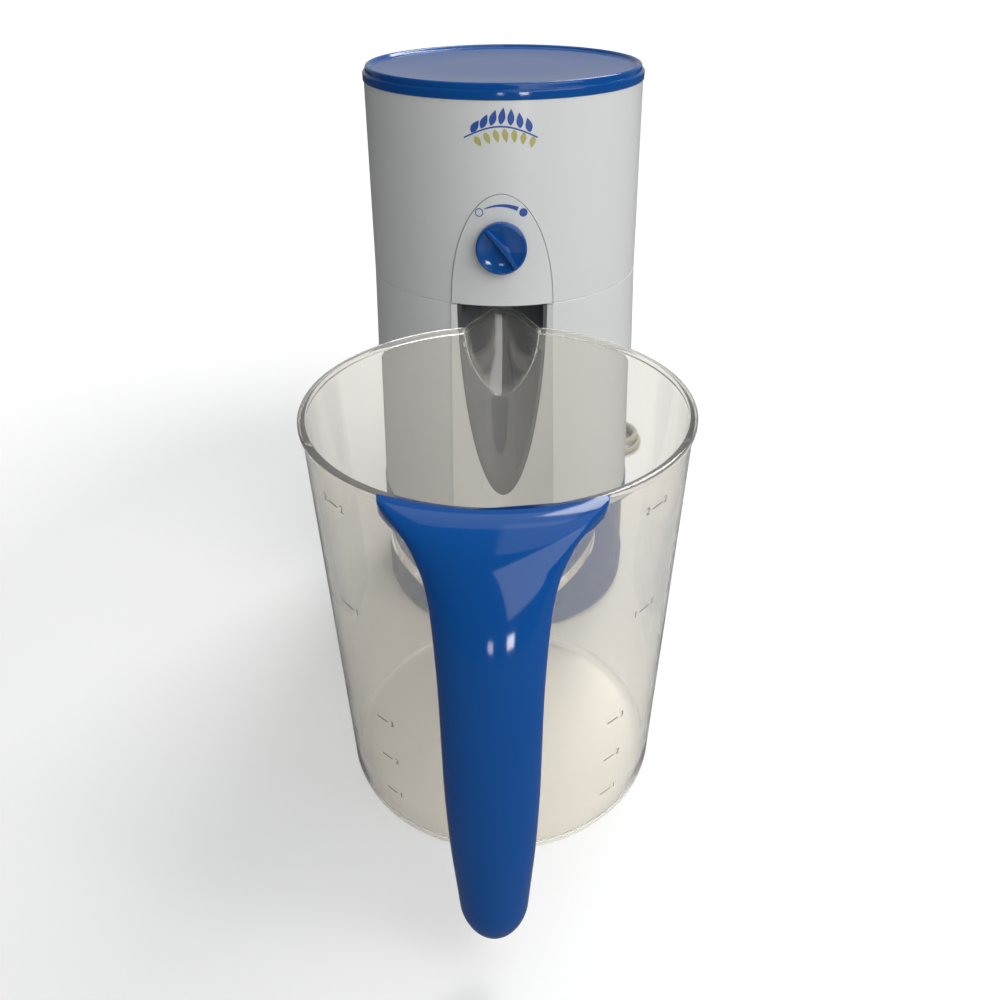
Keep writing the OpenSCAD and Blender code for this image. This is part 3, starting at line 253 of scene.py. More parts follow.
# %% Fill the room with air
AIR, DARK_ROOM, REAR_WALL = 0.235, 0.05, 0.42
world = bpy.data.worlds.new("room_air")
bpy.context.scene.world = world
world.use_nodes = True
tree = world.node_tree
tree.nodes.clear()
rays = node(tree, "ShaderNodeLightPath").outputs
seen = node(tree, "ShaderNodeMath", {0: rays["Is Camera Ray"], 1: rays["Is Transmission Ray"]},
            operation="MAXIMUM")
towards = node(tree, "ShaderNodeTexCoord").outputs["Generated"]
rear = node(tree, "ShaderNodeSeparateXYZ", {0: towards}).outputs["Y"]
mirrored = node(tree, "ShaderNodeMapRange", {
    "Value": rear, 1: 0.4, 2: 0.95, 3: DARK_ROOM, 4: REAR_WALL,
})
strength = node(tree, "ShaderNodeMix", {0: rays["Is Glossy Ray"], 2: AIR, 3: mirrored.outputs[0]})
ambient = node(tree, "ShaderNodeBackground", {
    "Color": (0.98, 0.99, 1, 1), "Strength": strength.outputs[0],
})
white = node(tree, "ShaderNodeBackground", {"Color": WHITE, "Strength": 1})
mix = node(tree, "ShaderNodeMixShader", {0: seen.outputs[0], 1: ambient.outputs[0], 2: white.outputs[0]})
node(tree, "ShaderNodeOutputWorld", {"Surface": mix.outputs[0]})
print("air:", len(tree.nodes), "nodes")

# %% [markdown]
# ## Finishes
# Almost everything here is injection-moulded plastic. A moulded face is never quite even: its colour
# drifts a little as the melt cools, its gloss varies where the mould was polished, and a fine grain or
# waviness catches the light. One function makes such a finish. All pattern sizes are real
# millimetres, read from Object coordinates.

# %% One function for what is moulded or printed


def srgb(code):
    """A hex colour as the linear values that Blender's sockets take."""
    parts = [int(code[i : i + 2], 16) / 255 for i in (1, 3, 5)]
    return tuple(v / 12.92 if v <= 0.04045 else ((v + 0.055) / 1.055) ** 2.4 for v in parts) + (1,)


def moulded(name, colour, rough, drift, grain_mm, grain_depth, specular=0.5, sheen=0.0):
    """A moulded material. drift is the share that its colour varies, grain_mm the grain's size."""
    material, tree, output = new_material(name)
    where = node(tree, "ShaderNodeTexCoord").outputs["Object"]
    # The drift's clouds are about 20 mm across and broken up finely, so they leave no visible contour
    cloud = node(tree, "ShaderNodeTexNoise", {
        "Vector": where, "Scale": 45, "Detail": 9, "Roughness": 0.8,
    })
    fine = node(tree, "ShaderNodeTexNoise", {"Vector": where, "Scale": 1000 / grain_mm, "Detail": 2})
    low = tuple(v * (1 - drift) for v in srgb(colour)[:3]) + (1,)
    high = tuple(min(1, v * (1 + drift)) for v in srgb(colour)[:3]) + (1,)
    tint = node(tree, "ShaderNodeMix", {0: cloud.outputs["Fac"], 6: low, 7: high}, data_type="RGBA")
    gloss = node(tree, "ShaderNodeMapRange", {
        "Value": cloud.outputs["Fac"], 3: rough * 0.98, 4: rough * 1.03,
    })
    bump = node(tree, "ShaderNodeBump", {
        "Height": fine.outputs["Fac"], "Strength": 0.35, "Distance": grain_depth * MM,
    })
    shader = node(tree, "ShaderNodeBsdfPrincipled", {
        "Base Color": tint.outputs[2], "Roughness": gloss.outputs[0], "Normal": bump.outputs[0],
        "Specular IOR Level": specular, "Sheen Weight": sheen,
    })
    tree.links.new(shader.outputs[0], output.inputs["Surface"])
    return material


# %% [markdown]
# ### The table of plastics
# Each row is a real material: its colour, roughness, drift, grain size and depth in mm, and how
# strongly it mirrors. Glossy ABS from a polished mould has a low roughness and long soft waves of
# 3 mm, vinyl and rubber are dull, glazed ceramic is smooth with a speckle, and ink is a flat thin film.
# The real grain of an etched face is finer than a picture shows, so it is drawn as coarse as it needs
# to be.

# %% Mix the plastics, the rubber and the inks
finishes = {
    name: moulded(name, *values)
    for name, *values in (
        # ABS, polished mould: a deep blue with small sharp glints, and a satin white
        ("blue_plastic", "#104d95", 0.09, 0.04, 3, 0.01, 0.3),
        ("white_plastic", "#dee0df", 0.27, 0.004, 3, 0.01, 0.4),
        # ABS, etched mould: a dull grey for the scoop, and black for switch and plug parts
        ("grey_plastic", "#55585c", 0.45, 0.04, 1.2, 0.02, 0.3),
        ("black_plastic", "#1b1b1d", 0.5, 0.06, 0.35, 0.03, 0.4),
        ("rocker_plastic", "#0f0f11", 0.18, 0.05, 0.4, 0.01, 0.5),
        # Polypropylene, moulded: a milky tank
        ("tank_plastic", "#d9dde0", 0.4, 0.02, 0.6, 0.02, 0.5),
        # Vinyl, extruded round the wires
        ("cord_white", "#b4b0a2", 0.5, 0.03, 0.3, 0.02, 0.4),
        # Natural and silicone rubber, pressed
        ("rubber", "#242424", 0.75, 0.08, 0.35, 0.03, 0.3, 0.15),
        ("silicone", "#d4d1c4", 0.38, 0.03, 0.6, 0.01, 0.5),
        # Steatite ceramic, glazed
        ("ceramic", "#ddd2bd", 0.22, 0.04, 0.8, 0.01, 0.5),
        # Pad-printed inks, and the frosted plastic of the fill marks
        ("blue_ink", "#2c55a4", 0.4, 0.06, 0.2, 0.004, 0.4),
        ("leaf_ink", "#b9b56a", 0.4, 0.08, 0.2, 0.004, 0.4),
        ("mark_ink", "#9b9892", 0.55, 0.08, 0.2, 0.01, 0.3),
    )
}
print("plastics:", ", ".join(finishes))

# %% [markdown]
# ### The metals
# Metals differ in how they were made: drawn tube and rolled sheet carry fine lines along their length,
# cast aluminium is mottled and pitted by its mould, and brass blades are rolled and lightly rubbed.
# A noise squeezed along one or two axes draws the lines, coarser than the real ones, so that they show.
# The numbers are the roughness, the squeeze along each axis, and the depth of lines or pits in mm.

# %% Mix the metals
for name, colour, rough, lines, pits in (
    ("steel", "#b9bbbe", 0.3, (1, 1, 12), 0.006),
    ("steel_tube", "#c2c4c7", 0.22, (14, 14, 1), 0.004),
    ("cast_aluminium", "#a9abad", 0.5, (1, 1, 1), 0.05),
    ("brass", "#c9b584", 0.26, (1, 8, 8), 0.004),
    ("mesh", "#b4b7ba", 0.35, (1, 1, 1), 0.02),
):
    material, tree, output = new_material(name)
    where = node(tree, "ShaderNodeTexCoord").outputs["Object"]
    lined = node(tree, "ShaderNodeMapping", {"Vector": where, "Scale": lines})
    grain = node(tree, "ShaderNodeTexNoise", {"Vector": lined.outputs[0], "Scale": 900, "Detail": 4})
    cloud = node(tree, "ShaderNodeTexNoise", {"Vector": where, "Scale": 60, "Detail": 3})
    dark = tuple(v * 0.82 for v in srgb(colour)[:3]) + (1,)
    tint = node(tree, "ShaderNodeMix", {0: cloud.outputs["Fac"], 6: dark, 7: srgb(colour)},
                data_type="RGBA")
    gloss = node(tree, "ShaderNodeMapRange", {
        "Value": grain.outputs["Fac"], 3: rough * 0.7, 4: rough * 1.4,
    })
    bump = node(tree, "ShaderNodeBump", {
        "Height": grain.outputs["Fac"], "Strength": 0.5, "Distance": pits * MM,
    })
    shader = node(tree, "ShaderNodeBsdfPrincipled", {
        "Base Color": tint.outputs[2], "Roughness": gloss.outputs[0], "Normal": bump.outputs[0],
        "Metallic": 1.0,
    })
    tree.links.new(shader.outputs[0], output.inputs["Surface"])
    finishes[name] = material
print("metals added:", len(finishes), "finishes")

# %% [markdown]
# ### The clear plastic
# The pitcher is clear styrene plastic: it bends light like glass, is a little warm and grey in its
# depth, has a slight milky share, and its wall shows slight waves from the mould. The floor inside it
# is frosted. The spout gets a copy of the same plastic with far less of the milk. That is painted
# shade: the spout sits in the head's shadow and reads darker. A lamp's light passes straight
# through to the table, so lamps and soft bounces meet a plain tinted window in place of the bending
# surface.

# %% Clear pitcher plastic
CLEAR_TINT, WINDOW_TINT = (0.94, 0.915, 0.865, 1), (0.96, 0.955, 0.94, 1)
FROST_TO, FROST_FADE = 4.8, 5.6
# The spout's copy lets less milk show: a painted shade for the spout under the head
for name, through in (("clear_plastic", 0.92), ("clear_spout", 0.985)):
    clear, tree, output = new_material(name)
    where = node(tree, "ShaderNodeTexCoord").outputs["Object"]
    waves = node(tree, "ShaderNodeTexNoise", {"Vector": where, "Scale": 22, "Detail": 1})
    dust = node(tree, "ShaderNodeTexNoise", {"Vector": where, "Scale": 700, "Detail": 3})
    haze = node(tree, "ShaderNodeMapRange", {
        "Value": dust.outputs["Fac"], 1: 0.45, 2: 0.75, 3: 0.01, 4: 0.07,
    })
    height = node(tree, "ShaderNodeSeparateXYZ", {0: where}).outputs["Z"]
    bottom = node(tree, "ShaderNodeMapRange", {
        "Value": height, 1: FROST_TO * MM, 2: FROST_FADE * MM, 3: 0.42, 4: 0.0,
    })
    frost = node(tree, "ShaderNodeMath", {0: haze.outputs[0], 1: bottom.outputs[0]}, operation="MAXIMUM")
    bump = node(tree, "ShaderNodeBump", {
        "Height": waves.outputs["Fac"], "Strength": 0.2, "Distance": 0.4 * MM,
    })
    shader = node(tree, "ShaderNodeBsdfPrincipled", {
        "Base Color": CLEAR_TINT, "Roughness": frost.outputs[0], "Normal": bump.outputs[0],
        "Transmission Weight": through, "IOR": 1.5, "Specular IOR Level": 0.3,
    })
    rays = node(tree, "ShaderNodeLightPath").outputs
    passing = node(tree, "ShaderNodeMath", {0: rays["Is Shadow Ray"], 1: rays["Is Diffuse Ray"]},
                   operation="MAXIMUM")
    window = node(tree, "ShaderNodeBsdfTransparent", {"Color": WINDOW_TINT})
    mix = node(tree, "ShaderNodeMixShader", {
        0: passing.outputs[0], 1: shader.outputs[0], 2: window.outputs[0],
    })
    tree.links.new(mix.outputs[0], output.inputs["Surface"])
    finishes[name] = clear
print("clear plastic added:", len(finishes), "finishes")

# %% [markdown]
# ### The CAD pieces
# A CAD node's mesh is loose triangles. Welding them and splitting only the sharp edges lets the round
# faces shade smoothly, with no change to the mesh itself.

# %% Give every CAD node its finish
SHARP_DEG, WELD_MM = 28, 0.01
slot_of = {part["node"]: part["material_slot"] for part in frame["record"]["subparts"]}
for name, piece in nodes.items():
    piece.data.materials.clear()
    piece.data.materials.append(finishes[slot_of[name]])
    piece.data.polygons.foreach_set("use_smooth", [True] * len(piece.data.polygons))
    piece.modifiers.new("weld", "WELD").merge_threshold = WELD_MM * MM
    split = piece.modifiers.new("sharp_edges", "EDGE_SPLIT")
    split.split_angle = math.radians(SHARP_DEG)
    piece.data.update()
print("finishes on", len(nodes), "nodes")

# %% [markdown]
# ### The flat front of the tower
# The white body is round, but its front band is nearly flat from edge to edge, so it shades as one
# plane with a crisp line at each side. The band's CAD face stands 0.6 mm proud and follows the round
# wall; a bump as high as the missing arc turns its light flat. An arc at x from the middle falls back
# by x * x / (2 * radius), so the bump is that height, counted from the band's edges.

# %% Flatten the light on the front band
band = finishes["white_plastic"].copy()
band.name = "white_band"
tree = band.node_tree
BAND_TOP, BAND_LOW, BAND_TOP_Z, BAND_LOW_Z = 26, 30, 208, 54
BODY_R, FLATTEN = 0.074, 1.3
spot = node(tree, "ShaderNodeSeparateXYZ", {0: node(tree, "ShaderNodeTexCoord").outputs["Object"]})
half = node(tree, "ShaderNodeMapRange", {
    "Value": spot.outputs["Z"],
    1: BAND_LOW_Z * MM, 2: BAND_TOP_Z * MM, 3: BAND_LOW * MM, 4: BAND_TOP * MM,
})
edge = node(tree, "ShaderNodeMath", {0: half.outputs[0], 1: half.outputs[0]}, operation="MULTIPLY")
arc = node(tree, "ShaderNodeMath", {0: spot.outputs["X"], 1: spot.outputs["X"]}, operation="MULTIPLY")
inside = node(tree, "ShaderNodeMath", {0: arc.outputs[0], 1: edge.outputs[0]}, operation="SUBTRACT")
inside = node(tree, "ShaderNodeMath", {0: inside.outputs[0], 1: 0.0}, operation="MINIMUM")
front = node(tree, "ShaderNodeMath", {0: spot.outputs["Y"], 1: TOWER.y}, operation="LESS_THAN")
inside = node(tree, "ShaderNodeMath", {0: inside.outputs[0], 1: front.outputs[0]}, operation="MULTIPLY")
flat = node(tree, "ShaderNodeMath", {0: inside.outputs[0], 1: FLATTEN / (2 * BODY_R)},
            operation="MULTIPLY")
plane = node(tree, "ShaderNodeBump", {"Height": flat.outputs[0], "Strength": 1.0, "Distance": 1.0})
grain = next(n for n in tree.nodes if n.bl_idname == "ShaderNodeBump" and n != plane)
tree.links.new(plane.outputs[0], grain.inputs["Normal"])
nodes["body_shell"].data.materials[0] = band
print("front band flattened")

# %% [markdown]
# ## Round pieces
# Lid, pitcher and dial are round, so each starts as half of its outline: a few corners joined by
# edges. Bevelling a corner rounds it by a real radius, as the mould does, and a spin turns the outline
# into the piece. Working on the outline first keeps the rounds exact and the mesh even. Longer pieces
# grow ring by ring.

# %% Helpers for new pieces


def outline(points, rounds=4):
    """A bmesh with an outline of (radius, height, corner radius) points in mm, its corners rounded."""
    bm = bmesh.new()
    verts = [bm.verts.new((p[0] * MM, 0, p[1] * MM)) for p in points]
    for a, b in zip(verts, verts[1:]):
        bm.edges.new((a, b))
    for radius in sorted({p[2] for p in points if len(p) > 2}):
        corners = [v for v, p in zip(verts, points) if len(p) > 2 and p[2] == radius]
        bmesh.ops.bevel(bm, geom=corners, offset=radius * MM * 0.8, offset_type="OFFSET",
                        segments=rounds, profile=0.5, affect="VERTICES", material=-1)
    return bm


def spin(bm, steps):
    """Spins an outline once round the upright axis and closes what meets on it."""
    bmesh.ops.spin(bm, geom=bm.verts[:] + bm.edges[:], cent=(0, 0, 0), axis=(0, 0, 1),
                   angle=2 * math.pi, steps=steps, use_merge=True)
    bmesh.ops.remove_doubles(bm, verts=bm.verts, dist=2e-6)
    bmesh.ops.recalc_face_normals(bm, faces=bm.faces)


def corners_of(geom):
    """The corners among what an extrusion has made."""
    return [g for g in geom if isinstance(g, bmesh.types.BMVert)]


def extrude_ring(bm, ring, places):
    """Extrudes a closed ring of corners to new places and gives back the new ring."""
    edges = [bm.edges.get((ring[k], ring[(k + 1) % len(ring)])) for k in range(len(ring))]
    fresh = set(corners_of(bmesh.ops.extrude_edge_only(bm, edges=edges)["geom"]))
    ring = [next(e.other_vert(v) for e in v.link_edges if e.other_vert(v) in fresh) for v in ring]
    for vert, place in zip(ring, places):
        vert.co = place
    return ring


def finish_piece(name, bm, finish, body, *replaced, at=(0, 0, 0), sharp=40):
    """Moves a bmesh to its place and makes it a piece that rides on a body."""
    bmesh.ops.translate(bm, vec=Vector(at), verts=bm.verts)
    for face in bm.faces:
        face.smooth = True
    for edge in bm.edges:
        edge.smooth = len(edge.link_faces) != 2 or edge.calc_face_angle(0) < math.radians(sharp)
    mesh = bpy.data.meshes.new(name)
    bm.to_mesh(mesh)
    bm.free()
    mesh.materials.append(finishes[finish])
    piece = bpy.data.objects.new(name, mesh)
    bpy.context.scene.collection.objects.link(piece)
    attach(piece, body)
    if replaced:
        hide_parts(*replaced)
    print(name, "-", len(mesh.polygons), "faces")
    return piece


# %% [markdown]
# ## The lid
# A shallow blue plug with a stepped rim. Its top sinks a little inside a rounded lip. Everything on it
# is round, so one outline and one spin make all of it.

# %% Spin the lid
lid_outline = outline([
    (0, 306.6), (66.6, 306.6), (66.6, 299), (68.0, 299, 0.4), (68.6, 300, 0.4), (68.6, 304),
    (71.6, 304), (71.9, 304.3), (71.9, 307.6, 0.5), (71.4, 308.1), (70.6, 308.1, 0.4), (70.4, 311, 1.4),
    (68.3, 311, 1.2), (66.9, 309.3, 1.6), (30, 308.85), (0, 308.8),
])
spin(lid_outline, 192)
finish_piece("lid_plug", lid_outline, "blue_plastic", "lid", "lid", at=TOWER)

# %% [markdown]
# ## The pitcher
# Its wall widens slightly from a rounded foot to a bead at the rim. The spout is pressed out of the
# wall: from a point low on the rim it widens like a leaf and rises to a rounded tip. So the wall is
# spun with closely spaced rings near the top, and the points in the spout's region move outwards.

# %% Describe the wall and the spout
FOOT_R, FOOT_Z, RIM, WIDENS, WALL = 78.5, 9, 200, 4.4, 2
SPOUT_ROOT, SPOUT_HALF, SPOUT_REACH, SPOUT_RISE, NOSE = 162, 19.2, 25, 2, 0.6


def wall_r(z):
    """Outer radius of the pitcher's wall in mm."""
    return FOOT_R + WIDENS * (z - FOOT_Z) / (RIM - FOOT_Z)


def spout_half(z):
    """Half the spout's width in mm at a height: a U that opens upwards from its root."""
    t = min(1, max(0, (z - SPOUT_ROOT) / (RIM - SPOUT_ROOT)))
    return SPOUT_HALF * (1 - (1 - t) ** 2) ** 0.62


def spout_push(x, z):
    """How far the spout stands out of the wall in mm, at x across and z up: a V with a round nose."""
    t = min(1.05, max(0, (z - SPOUT_ROOT) / (RIM - SPOUT_ROOT)))
    u = abs(x) / max(0.5, spout_half(z))
    edge = math.hypot(1, NOSE)
    return SPOUT_REACH * t * max(0.0, (edge - math.hypot(u, NOSE)) / (edge - NOSE))


print("wall radius:", wall_r(FOOT_Z), "to", wall_r(RIM), "mm; spout out by", spout_push(0, RIM), "mm")

# %% [markdown]
# ### From outline to pitcher
# The outline runs up the outside and down the inside, 2 mm apart, so the spin gives a wall of real
# thickness, which clear plastic needs to bend light. The faces of the spout then get the copy of the
# finish with less of the milk, which paints the shade under the head on them.

# %% Spin the pitcher's wall and press the spout out of it
heights = [20, 40, 60, 80, 100, 120, 140, 150] + list(range(154, 196))
pitcher_outline = outline(
    [(0, 2.2), (71.2, 2.2, 0.6), (72.7, 0, 0.5), (78.4, 0, 6)]
    + [(wall_r(z), z) for z in heights]
    + [(wall_r(197), 197, 0.4), (84.2, 197.4, 0.7), (84.2, 200, 1.0), (80.8, 200, 0.8)]
    + [(wall_r(z) - WALL, z) for z in [197, *reversed(heights)]]
    + [(76.5, 4.6, 3), (40, 4.6), (0, 4.6)]
)
spin(pitcher_outline, 360)
for vert in pitcher_outline.verts:
    x, z = vert.co.x / MM, vert.co.z / MM
    if vert.co.y > 0 and z > SPOUT_ROOT:
        push = spout_push(x, z)
        vert.co.y += push * MM
        vert.co.z += SPOUT_RISE * (push / SPOUT_REACH) ** 2 * max(0, (z - 190) / 10) * MM
bmesh.ops.recalc_face_normals(pitcher_outline, faces=pitcher_outline.faces)
pitcher_wall = finish_piece(
    "pitcher_wall", pitcher_outline, "clear_plastic", "pitcher", "pitcher_body", at=PITCHER)
# The spout's faces take the copy with less milk, which paints the head's shade on them
pitcher_wall.data.materials.append(finishes["clear_spout"])
for face in pitcher_wall.data.polygons:
    proud = face.center.y - PITCHER.y > (wall_r(face.center.z / MM) + 1) * MM
    face.material_index = int(proud and face.center.z < RIM * MM)

# %% [markdown]
# ### The fold round the spout
# Where the spout leaves the wall the plastic is a little thicker, in a U that catches the light. A
# round rod follows that line: one ring is drawn and extruded again and again along it.

# %% Run a rod along the fold


def rod(bm, path, radius, sides=8):
    """Extrudes a ring along a path of points in mm and closes both ends."""
    points = [Vector(p) for p in path]
    turns = [2 * math.pi * k / sides for k in range(sides)]
    ring = []
    for i, point in enumerate(points):
        ahead = (points[min(i + 1, len(points) - 1)] - points[max(i - 1, 0)]).normalized()
        side = ahead.cross(Vector((0, 1, 0.2))).normalized()
        up = side.cross(ahead)
        spots = [(point + radius * (side * math.cos(a) + up * math.sin(a))) * MM for a in turns]
        if ring:
            ring = extrude_ring(bm, ring, spots)
        else:
            ring = [bm.verts.new(spot) for spot in spots]
            bm.faces.new(ring)
    bm.faces.new(ring)
    bmesh.ops.recalc_face_normals(bm, faces=bm.faces)


bm = bmesh.new()
fold = []
for i in range(-30, 31):
    z = SPOUT_ROOT + (RIM - 3 - SPOUT_ROOT) * (i / 30) ** 2
    x = math.copysign(spout_half(z), i) if i else 0
    r = wall_r(z) - 0.3
    fold.append((x, math.sqrt(r * r - x * x), z))
rod(bm, fold, 0.6)
# The fold takes the same darker copy, a painted shade under the head
finish_piece("spout_fold", bm, "clear_spout", "pitcher", at=PITCHER)

# %% [markdown]
# ### The socket rib
# Under the handle's flare a clear rib runs down the wall in a U. It stiffens the wall where the handle
# pulls on it. Its line is drawn on the wall and extruded straight out.

# %% Draw the rib and extrude it
RIB_TOP, RIB_DROP, RIB_HALF, RIB_OUT, RIB_THICK = 186.5, 38, 37, 6, 2.4
bm = bmesh.new()
line = []
for i in range(-24, 25):
    drop = RIB_DROP * (1 - abs(i) / 24)
    half = RIB_HALF * (1 - (drop / RIB_DROP) ** 1.8) * (1 if i >= 0 else -1)
    z = RIB_TOP - drop
    r = wall_r(z) - 0.2
    line.append(bm.verts.new((half * MM, -math.sqrt(r * r - half * half) * MM, z * MM)))
edges = [bm.edges.new(pair) for pair in zip(line, line[1:])]
ribbon = bmesh.ops.extrude_edge_only(bm, edges=edges)["geom"]
for vert in corners_of(ribbon):
    vert.co += Vector((0, -RIB_OUT * MM, 0)) * min(1, (186.8 - vert.co.z / MM) / 6 + 0.35)
bmesh.ops.solidify(bm, geom=bm.faces[:], thickness=RIB_THICK * MM)
bmesh.ops.recalc_face_normals(bm, faces=bm.faces)
finish_piece("socket_rib", bm, "clear_plastic", "pitcher", at=PITCHER)

# %% [markdown]
# ## The handle
# Two blue shells meet in a seam that runs along both sides. The handle leaves the rim as a broad
# flare, narrows fast, bends down and ends free in a rounded tip. Each shell is a row of rings along
# one curve: the first ring is drawn, then extruded again and again, and each new ring is put in place.

# %% Describe the handle's curve and widths
HANDLE_CURVE = [(83.2, 200.3), (112.8, 199.8), (135.9, 165), (138, 18.5)]
# The handle's width in mm at places along its curve, from the rim at 0 to the free end at 1
HANDLE_WIDTHS = [
    (0, 84), (0.03, 83), (0.06, 77.4), (0.1, 69.2), (0.15, 60.6), (0.2, 54.7), (0.28, 48.4),
    (0.36, 44.5), (0.44, 41.6), (0.52, 39.4), (0.6, 37.7), (0.7, 36.6), (0.78, 35.6), (0.86, 33.0),
    (0.93, 29.0), (1, 24.8),
]
# The rounding of the free end starts at TIP; the flare follows a rim of the radius RIM_R
TIP, RIM_R = 0.952, 84.5


def smooth(t):
    """Eases from 0 to 1 with no kink at either end."""
    t = min(1, max(0, t))
    return t * t * (3 - 2 * t)


def handle_width(t):
    """The width between two places of the table, on a curve that passes through all of them."""
    i = max(k for k in range(len(HANDLE_WIDTHS) - 1) if HANDLE_WIDTHS[k][0] <= t)
    (ta, wa), (tb, wb) = HANDLE_WIDTHS[i : i + 2]
    before = HANDLE_WIDTHS[max(i - 1, 0)]
    after = HANDLE_WIDTHS[min(i + 2, len(HANDLE_WIDTHS) - 1)]
    slope_a, slope_b = (wb - before[1]) / (tb - before[0]), (after[1] - wa) / (after[0] - ta)
    f = (t - ta) / (tb - ta)
    return (wa * (1 + 2 * f) * (1 - f) ** 2 + wb * f * f * (3 - 2 * f)
            + (tb - ta) * (slope_a * f * (1 - f) ** 2 - slope_b * f * f * (1 - f)))


def handle_place(t, across, depth):
    """A point of the handle at t along its curve: across it, and inwards from its front, in mm."""
    a, b, c, d = HANDLE_CURVE
    s = 1 - t
    r, z = (s**3 * a[i] + 3 * t * s * s * b[i] + 3 * t * t * s * c[i] + t**3 * d[i] for i in (0, 1))
    gr, gz = (3 * s * s * (b[i] - a[i]) + 6 * t * s * (c[i] - b[i]) + 3 * t * t * (d[i] - c[i])
              for i in (0, 1))
    long = math.hypot(gr, gz)
    bend = (RIM_R - math.sqrt(RIM_R**2 - across**2)) * max(0, 1 - t / 0.25)
    return Vector((across, -(r + depth * gz / long - bend * gr / long), z - depth * gr / long)) * MM


def shell_ring(t, side, count=28):
    """One ring of a shell: its outer arc from edge to edge, and back along the seam."""
    # Near the rim the handle is thin and its front nearly flat; further on it is thick and round
    end = 1.0 if t < TIP else math.sqrt(max(0.0, 1 - ((t - TIP) / (1 - TIP)) ** 2))
    width = handle_width(t) * end
    depth = 10.5 + 8.5 * min(1, t / 0.4)
    split = 0.12 + 0.43 * smooth(t / 0.3)
    square = 0.3 + 0.7 * smooth(t / 0.3)
    corner = 0.8 + 0.2 * smooth(t / 0.3)
    edge = split * depth - side * 0.06
    deep = (split if side > 0 else 1 - split) * depth * end
    ring = []
    for i in range(count + 1):
        angle = math.pi * i / count
        across = width / 2 * math.copysign(abs(math.cos(angle)) ** corner, math.cos(angle))
        ring.append(handle_place(t, across, edge - side * (deep * math.sin(angle) ** square)))
    inner = [handle_place(t, width * f, edge) for f in (-0.42, -0.2, 0, 0.2, 0.42)]
    return ring + inner


print("handle:", [round(handle_width(t), 1) for t in (0, 0.25, 0.5, 0.75, 1)], "mm wide")

# %% [markdown]
# ### From rings to shells
# The rings stand closer together at the flare and at the tip, where the form changes fast. The front
# shell and the back shell are the same loft on the two sides of the seam.

# %% Loft the two shells
steps = [TIP * (0.45 * (i / 66) ** 2 + 0.55 * i / 66) for i in range(66)]
steps += [TIP + (1 - TIP) * math.sin(math.pi / 2 * i / 14) for i in range(14)] + [0.9998]
for name, side, replaced in (
    ("handle_front_shell", 1, "handle_front"),
    ("handle_back_shell", -1, "handle_back"),
):
    bm = bmesh.new()
    ring = [bm.verts.new(place) for place in shell_ring(steps[0], side)]
    for k in range(len(ring)):
        bm.edges.new((ring[k], ring[(k + 1) % len(ring)]))
    for t in steps[1:]:
        ring = extrude_ring(bm, ring, shell_ring(t, side))
    bmesh.ops.holes_fill(bm, edges=[e for e in bm.edges if e.is_boundary], sides=0)
    bmesh.ops.remove_doubles(bm, verts=bm.verts, dist=5e-6)
    bmesh.ops.recalc_face_normals(bm, faces=bm.faces)
    finish_piece(name, bm, "blue_plastic", "pitcher", replaced, at=PITCHER, sharp=50)

# %% [markdown]
# ## The dial
# A round knob with a turned edge and a slightly dished face. A bowed grip bar crosses it from edge to
# edge. The knob is spun, and the bar starts as a cube that is cut into slices, bowed and bevelled.

# %% Spin the knob and bow its grip bar
DIAL_R, DIAL_DEG, DIAL_Z, DIAL_FRONT = 12.5, 38, 238.4, 35.1
BAR_WIDE, BAR_LONG, BAR_HIGH, BAR_BOW = 4, 23.6, 5, 1.3
bm = outline([
    (0, 3.6), (7, 3.7), (10.4, 4.6, 1.2), (11.6, 5, 0.5), (DIAL_R, 4.4, 0.6), (DIAL_R, 0.4, 0.3),
    (12.1, 0), (0, 0),
])
spin(bm, 128)
bar = bmesh.ops.create_cube(bm, size=1)["verts"]
bmesh.ops.scale(bm, vec=(BAR_WIDE * MM, BAR_LONG * MM, BAR_HIGH * MM), verts=bar)
bmesh.ops.translate(bm, vec=(0, 0, 4.6 * MM), verts=bar)
long_edges = {e for v in bar for e in v.link_edges if abs(e.verts[0].co.y - e.verts[1].co.y) > 10 * MM}
bmesh.ops.subdivide_edges(bm, edges=list(long_edges), cuts=15)
bar_sides = [f for f in bm.faces if f.calc_center_median().z > 2.0 * MM
             and all(abs(abs(v.co.x) - BAR_WIDE / 2 * MM) < 1e-6 for v in f.verts)]
bar = list({v for f in bar_sides for v in f.verts})
for vert in bar:
    f = vert.co.y / (BAR_LONG / 2 * MM)
    top = vert.co.z > 5 * MM
    bow = (1 - f * f) * BAR_BOW * MM * (1 if top else 0.4)
    vert.co.x = vert.co.x * (1 - 0.3 * f * f) * (0.62 if top else 1.25) + bow
    if top:
        vert.co.z -= BAR_BOW * MM * f**4
inner = set(bar)
rims = {e for v in bar for e in v.link_edges if e.other_vert(v) in inner and e.calc_face_angle(0) > 0.6}
bmesh.ops.bevel(bm, geom=list(rims), offset=0.45 * MM, segments=3, profile=0.5, affect="EDGES",
                material=-1, clamp_overlap=True)
bmesh.ops.recalc_face_normals(bm, faces=bm.faces)
stand = (Matrix.Translation((0, DIAL_FRONT * MM, DIAL_Z * MM))
         @ Matrix.Rotation(math.radians(90), 4, "X") @ Matrix.Rotation(math.radians(DIAL_DEG), 4, "Z"))
bmesh.ops.transform(bm, verts=bm.verts, matrix=stand)
finish_piece("dial_knob", bm, "blue_plastic", "strength_dial", "dial", sharp=35)

# %% [markdown]
# ## Printed and moulded marks
# The prints are plain shapes: beside the dial an open circle for mild and a filled one for strong, with
# a wedge that grows from one to the other, and above them a small sprig of leaves. Each is drawn flat,
# laid on its carrier by casting a ray from every corner, and given the thickness of a layer of ink.

# %% Helpers for prints


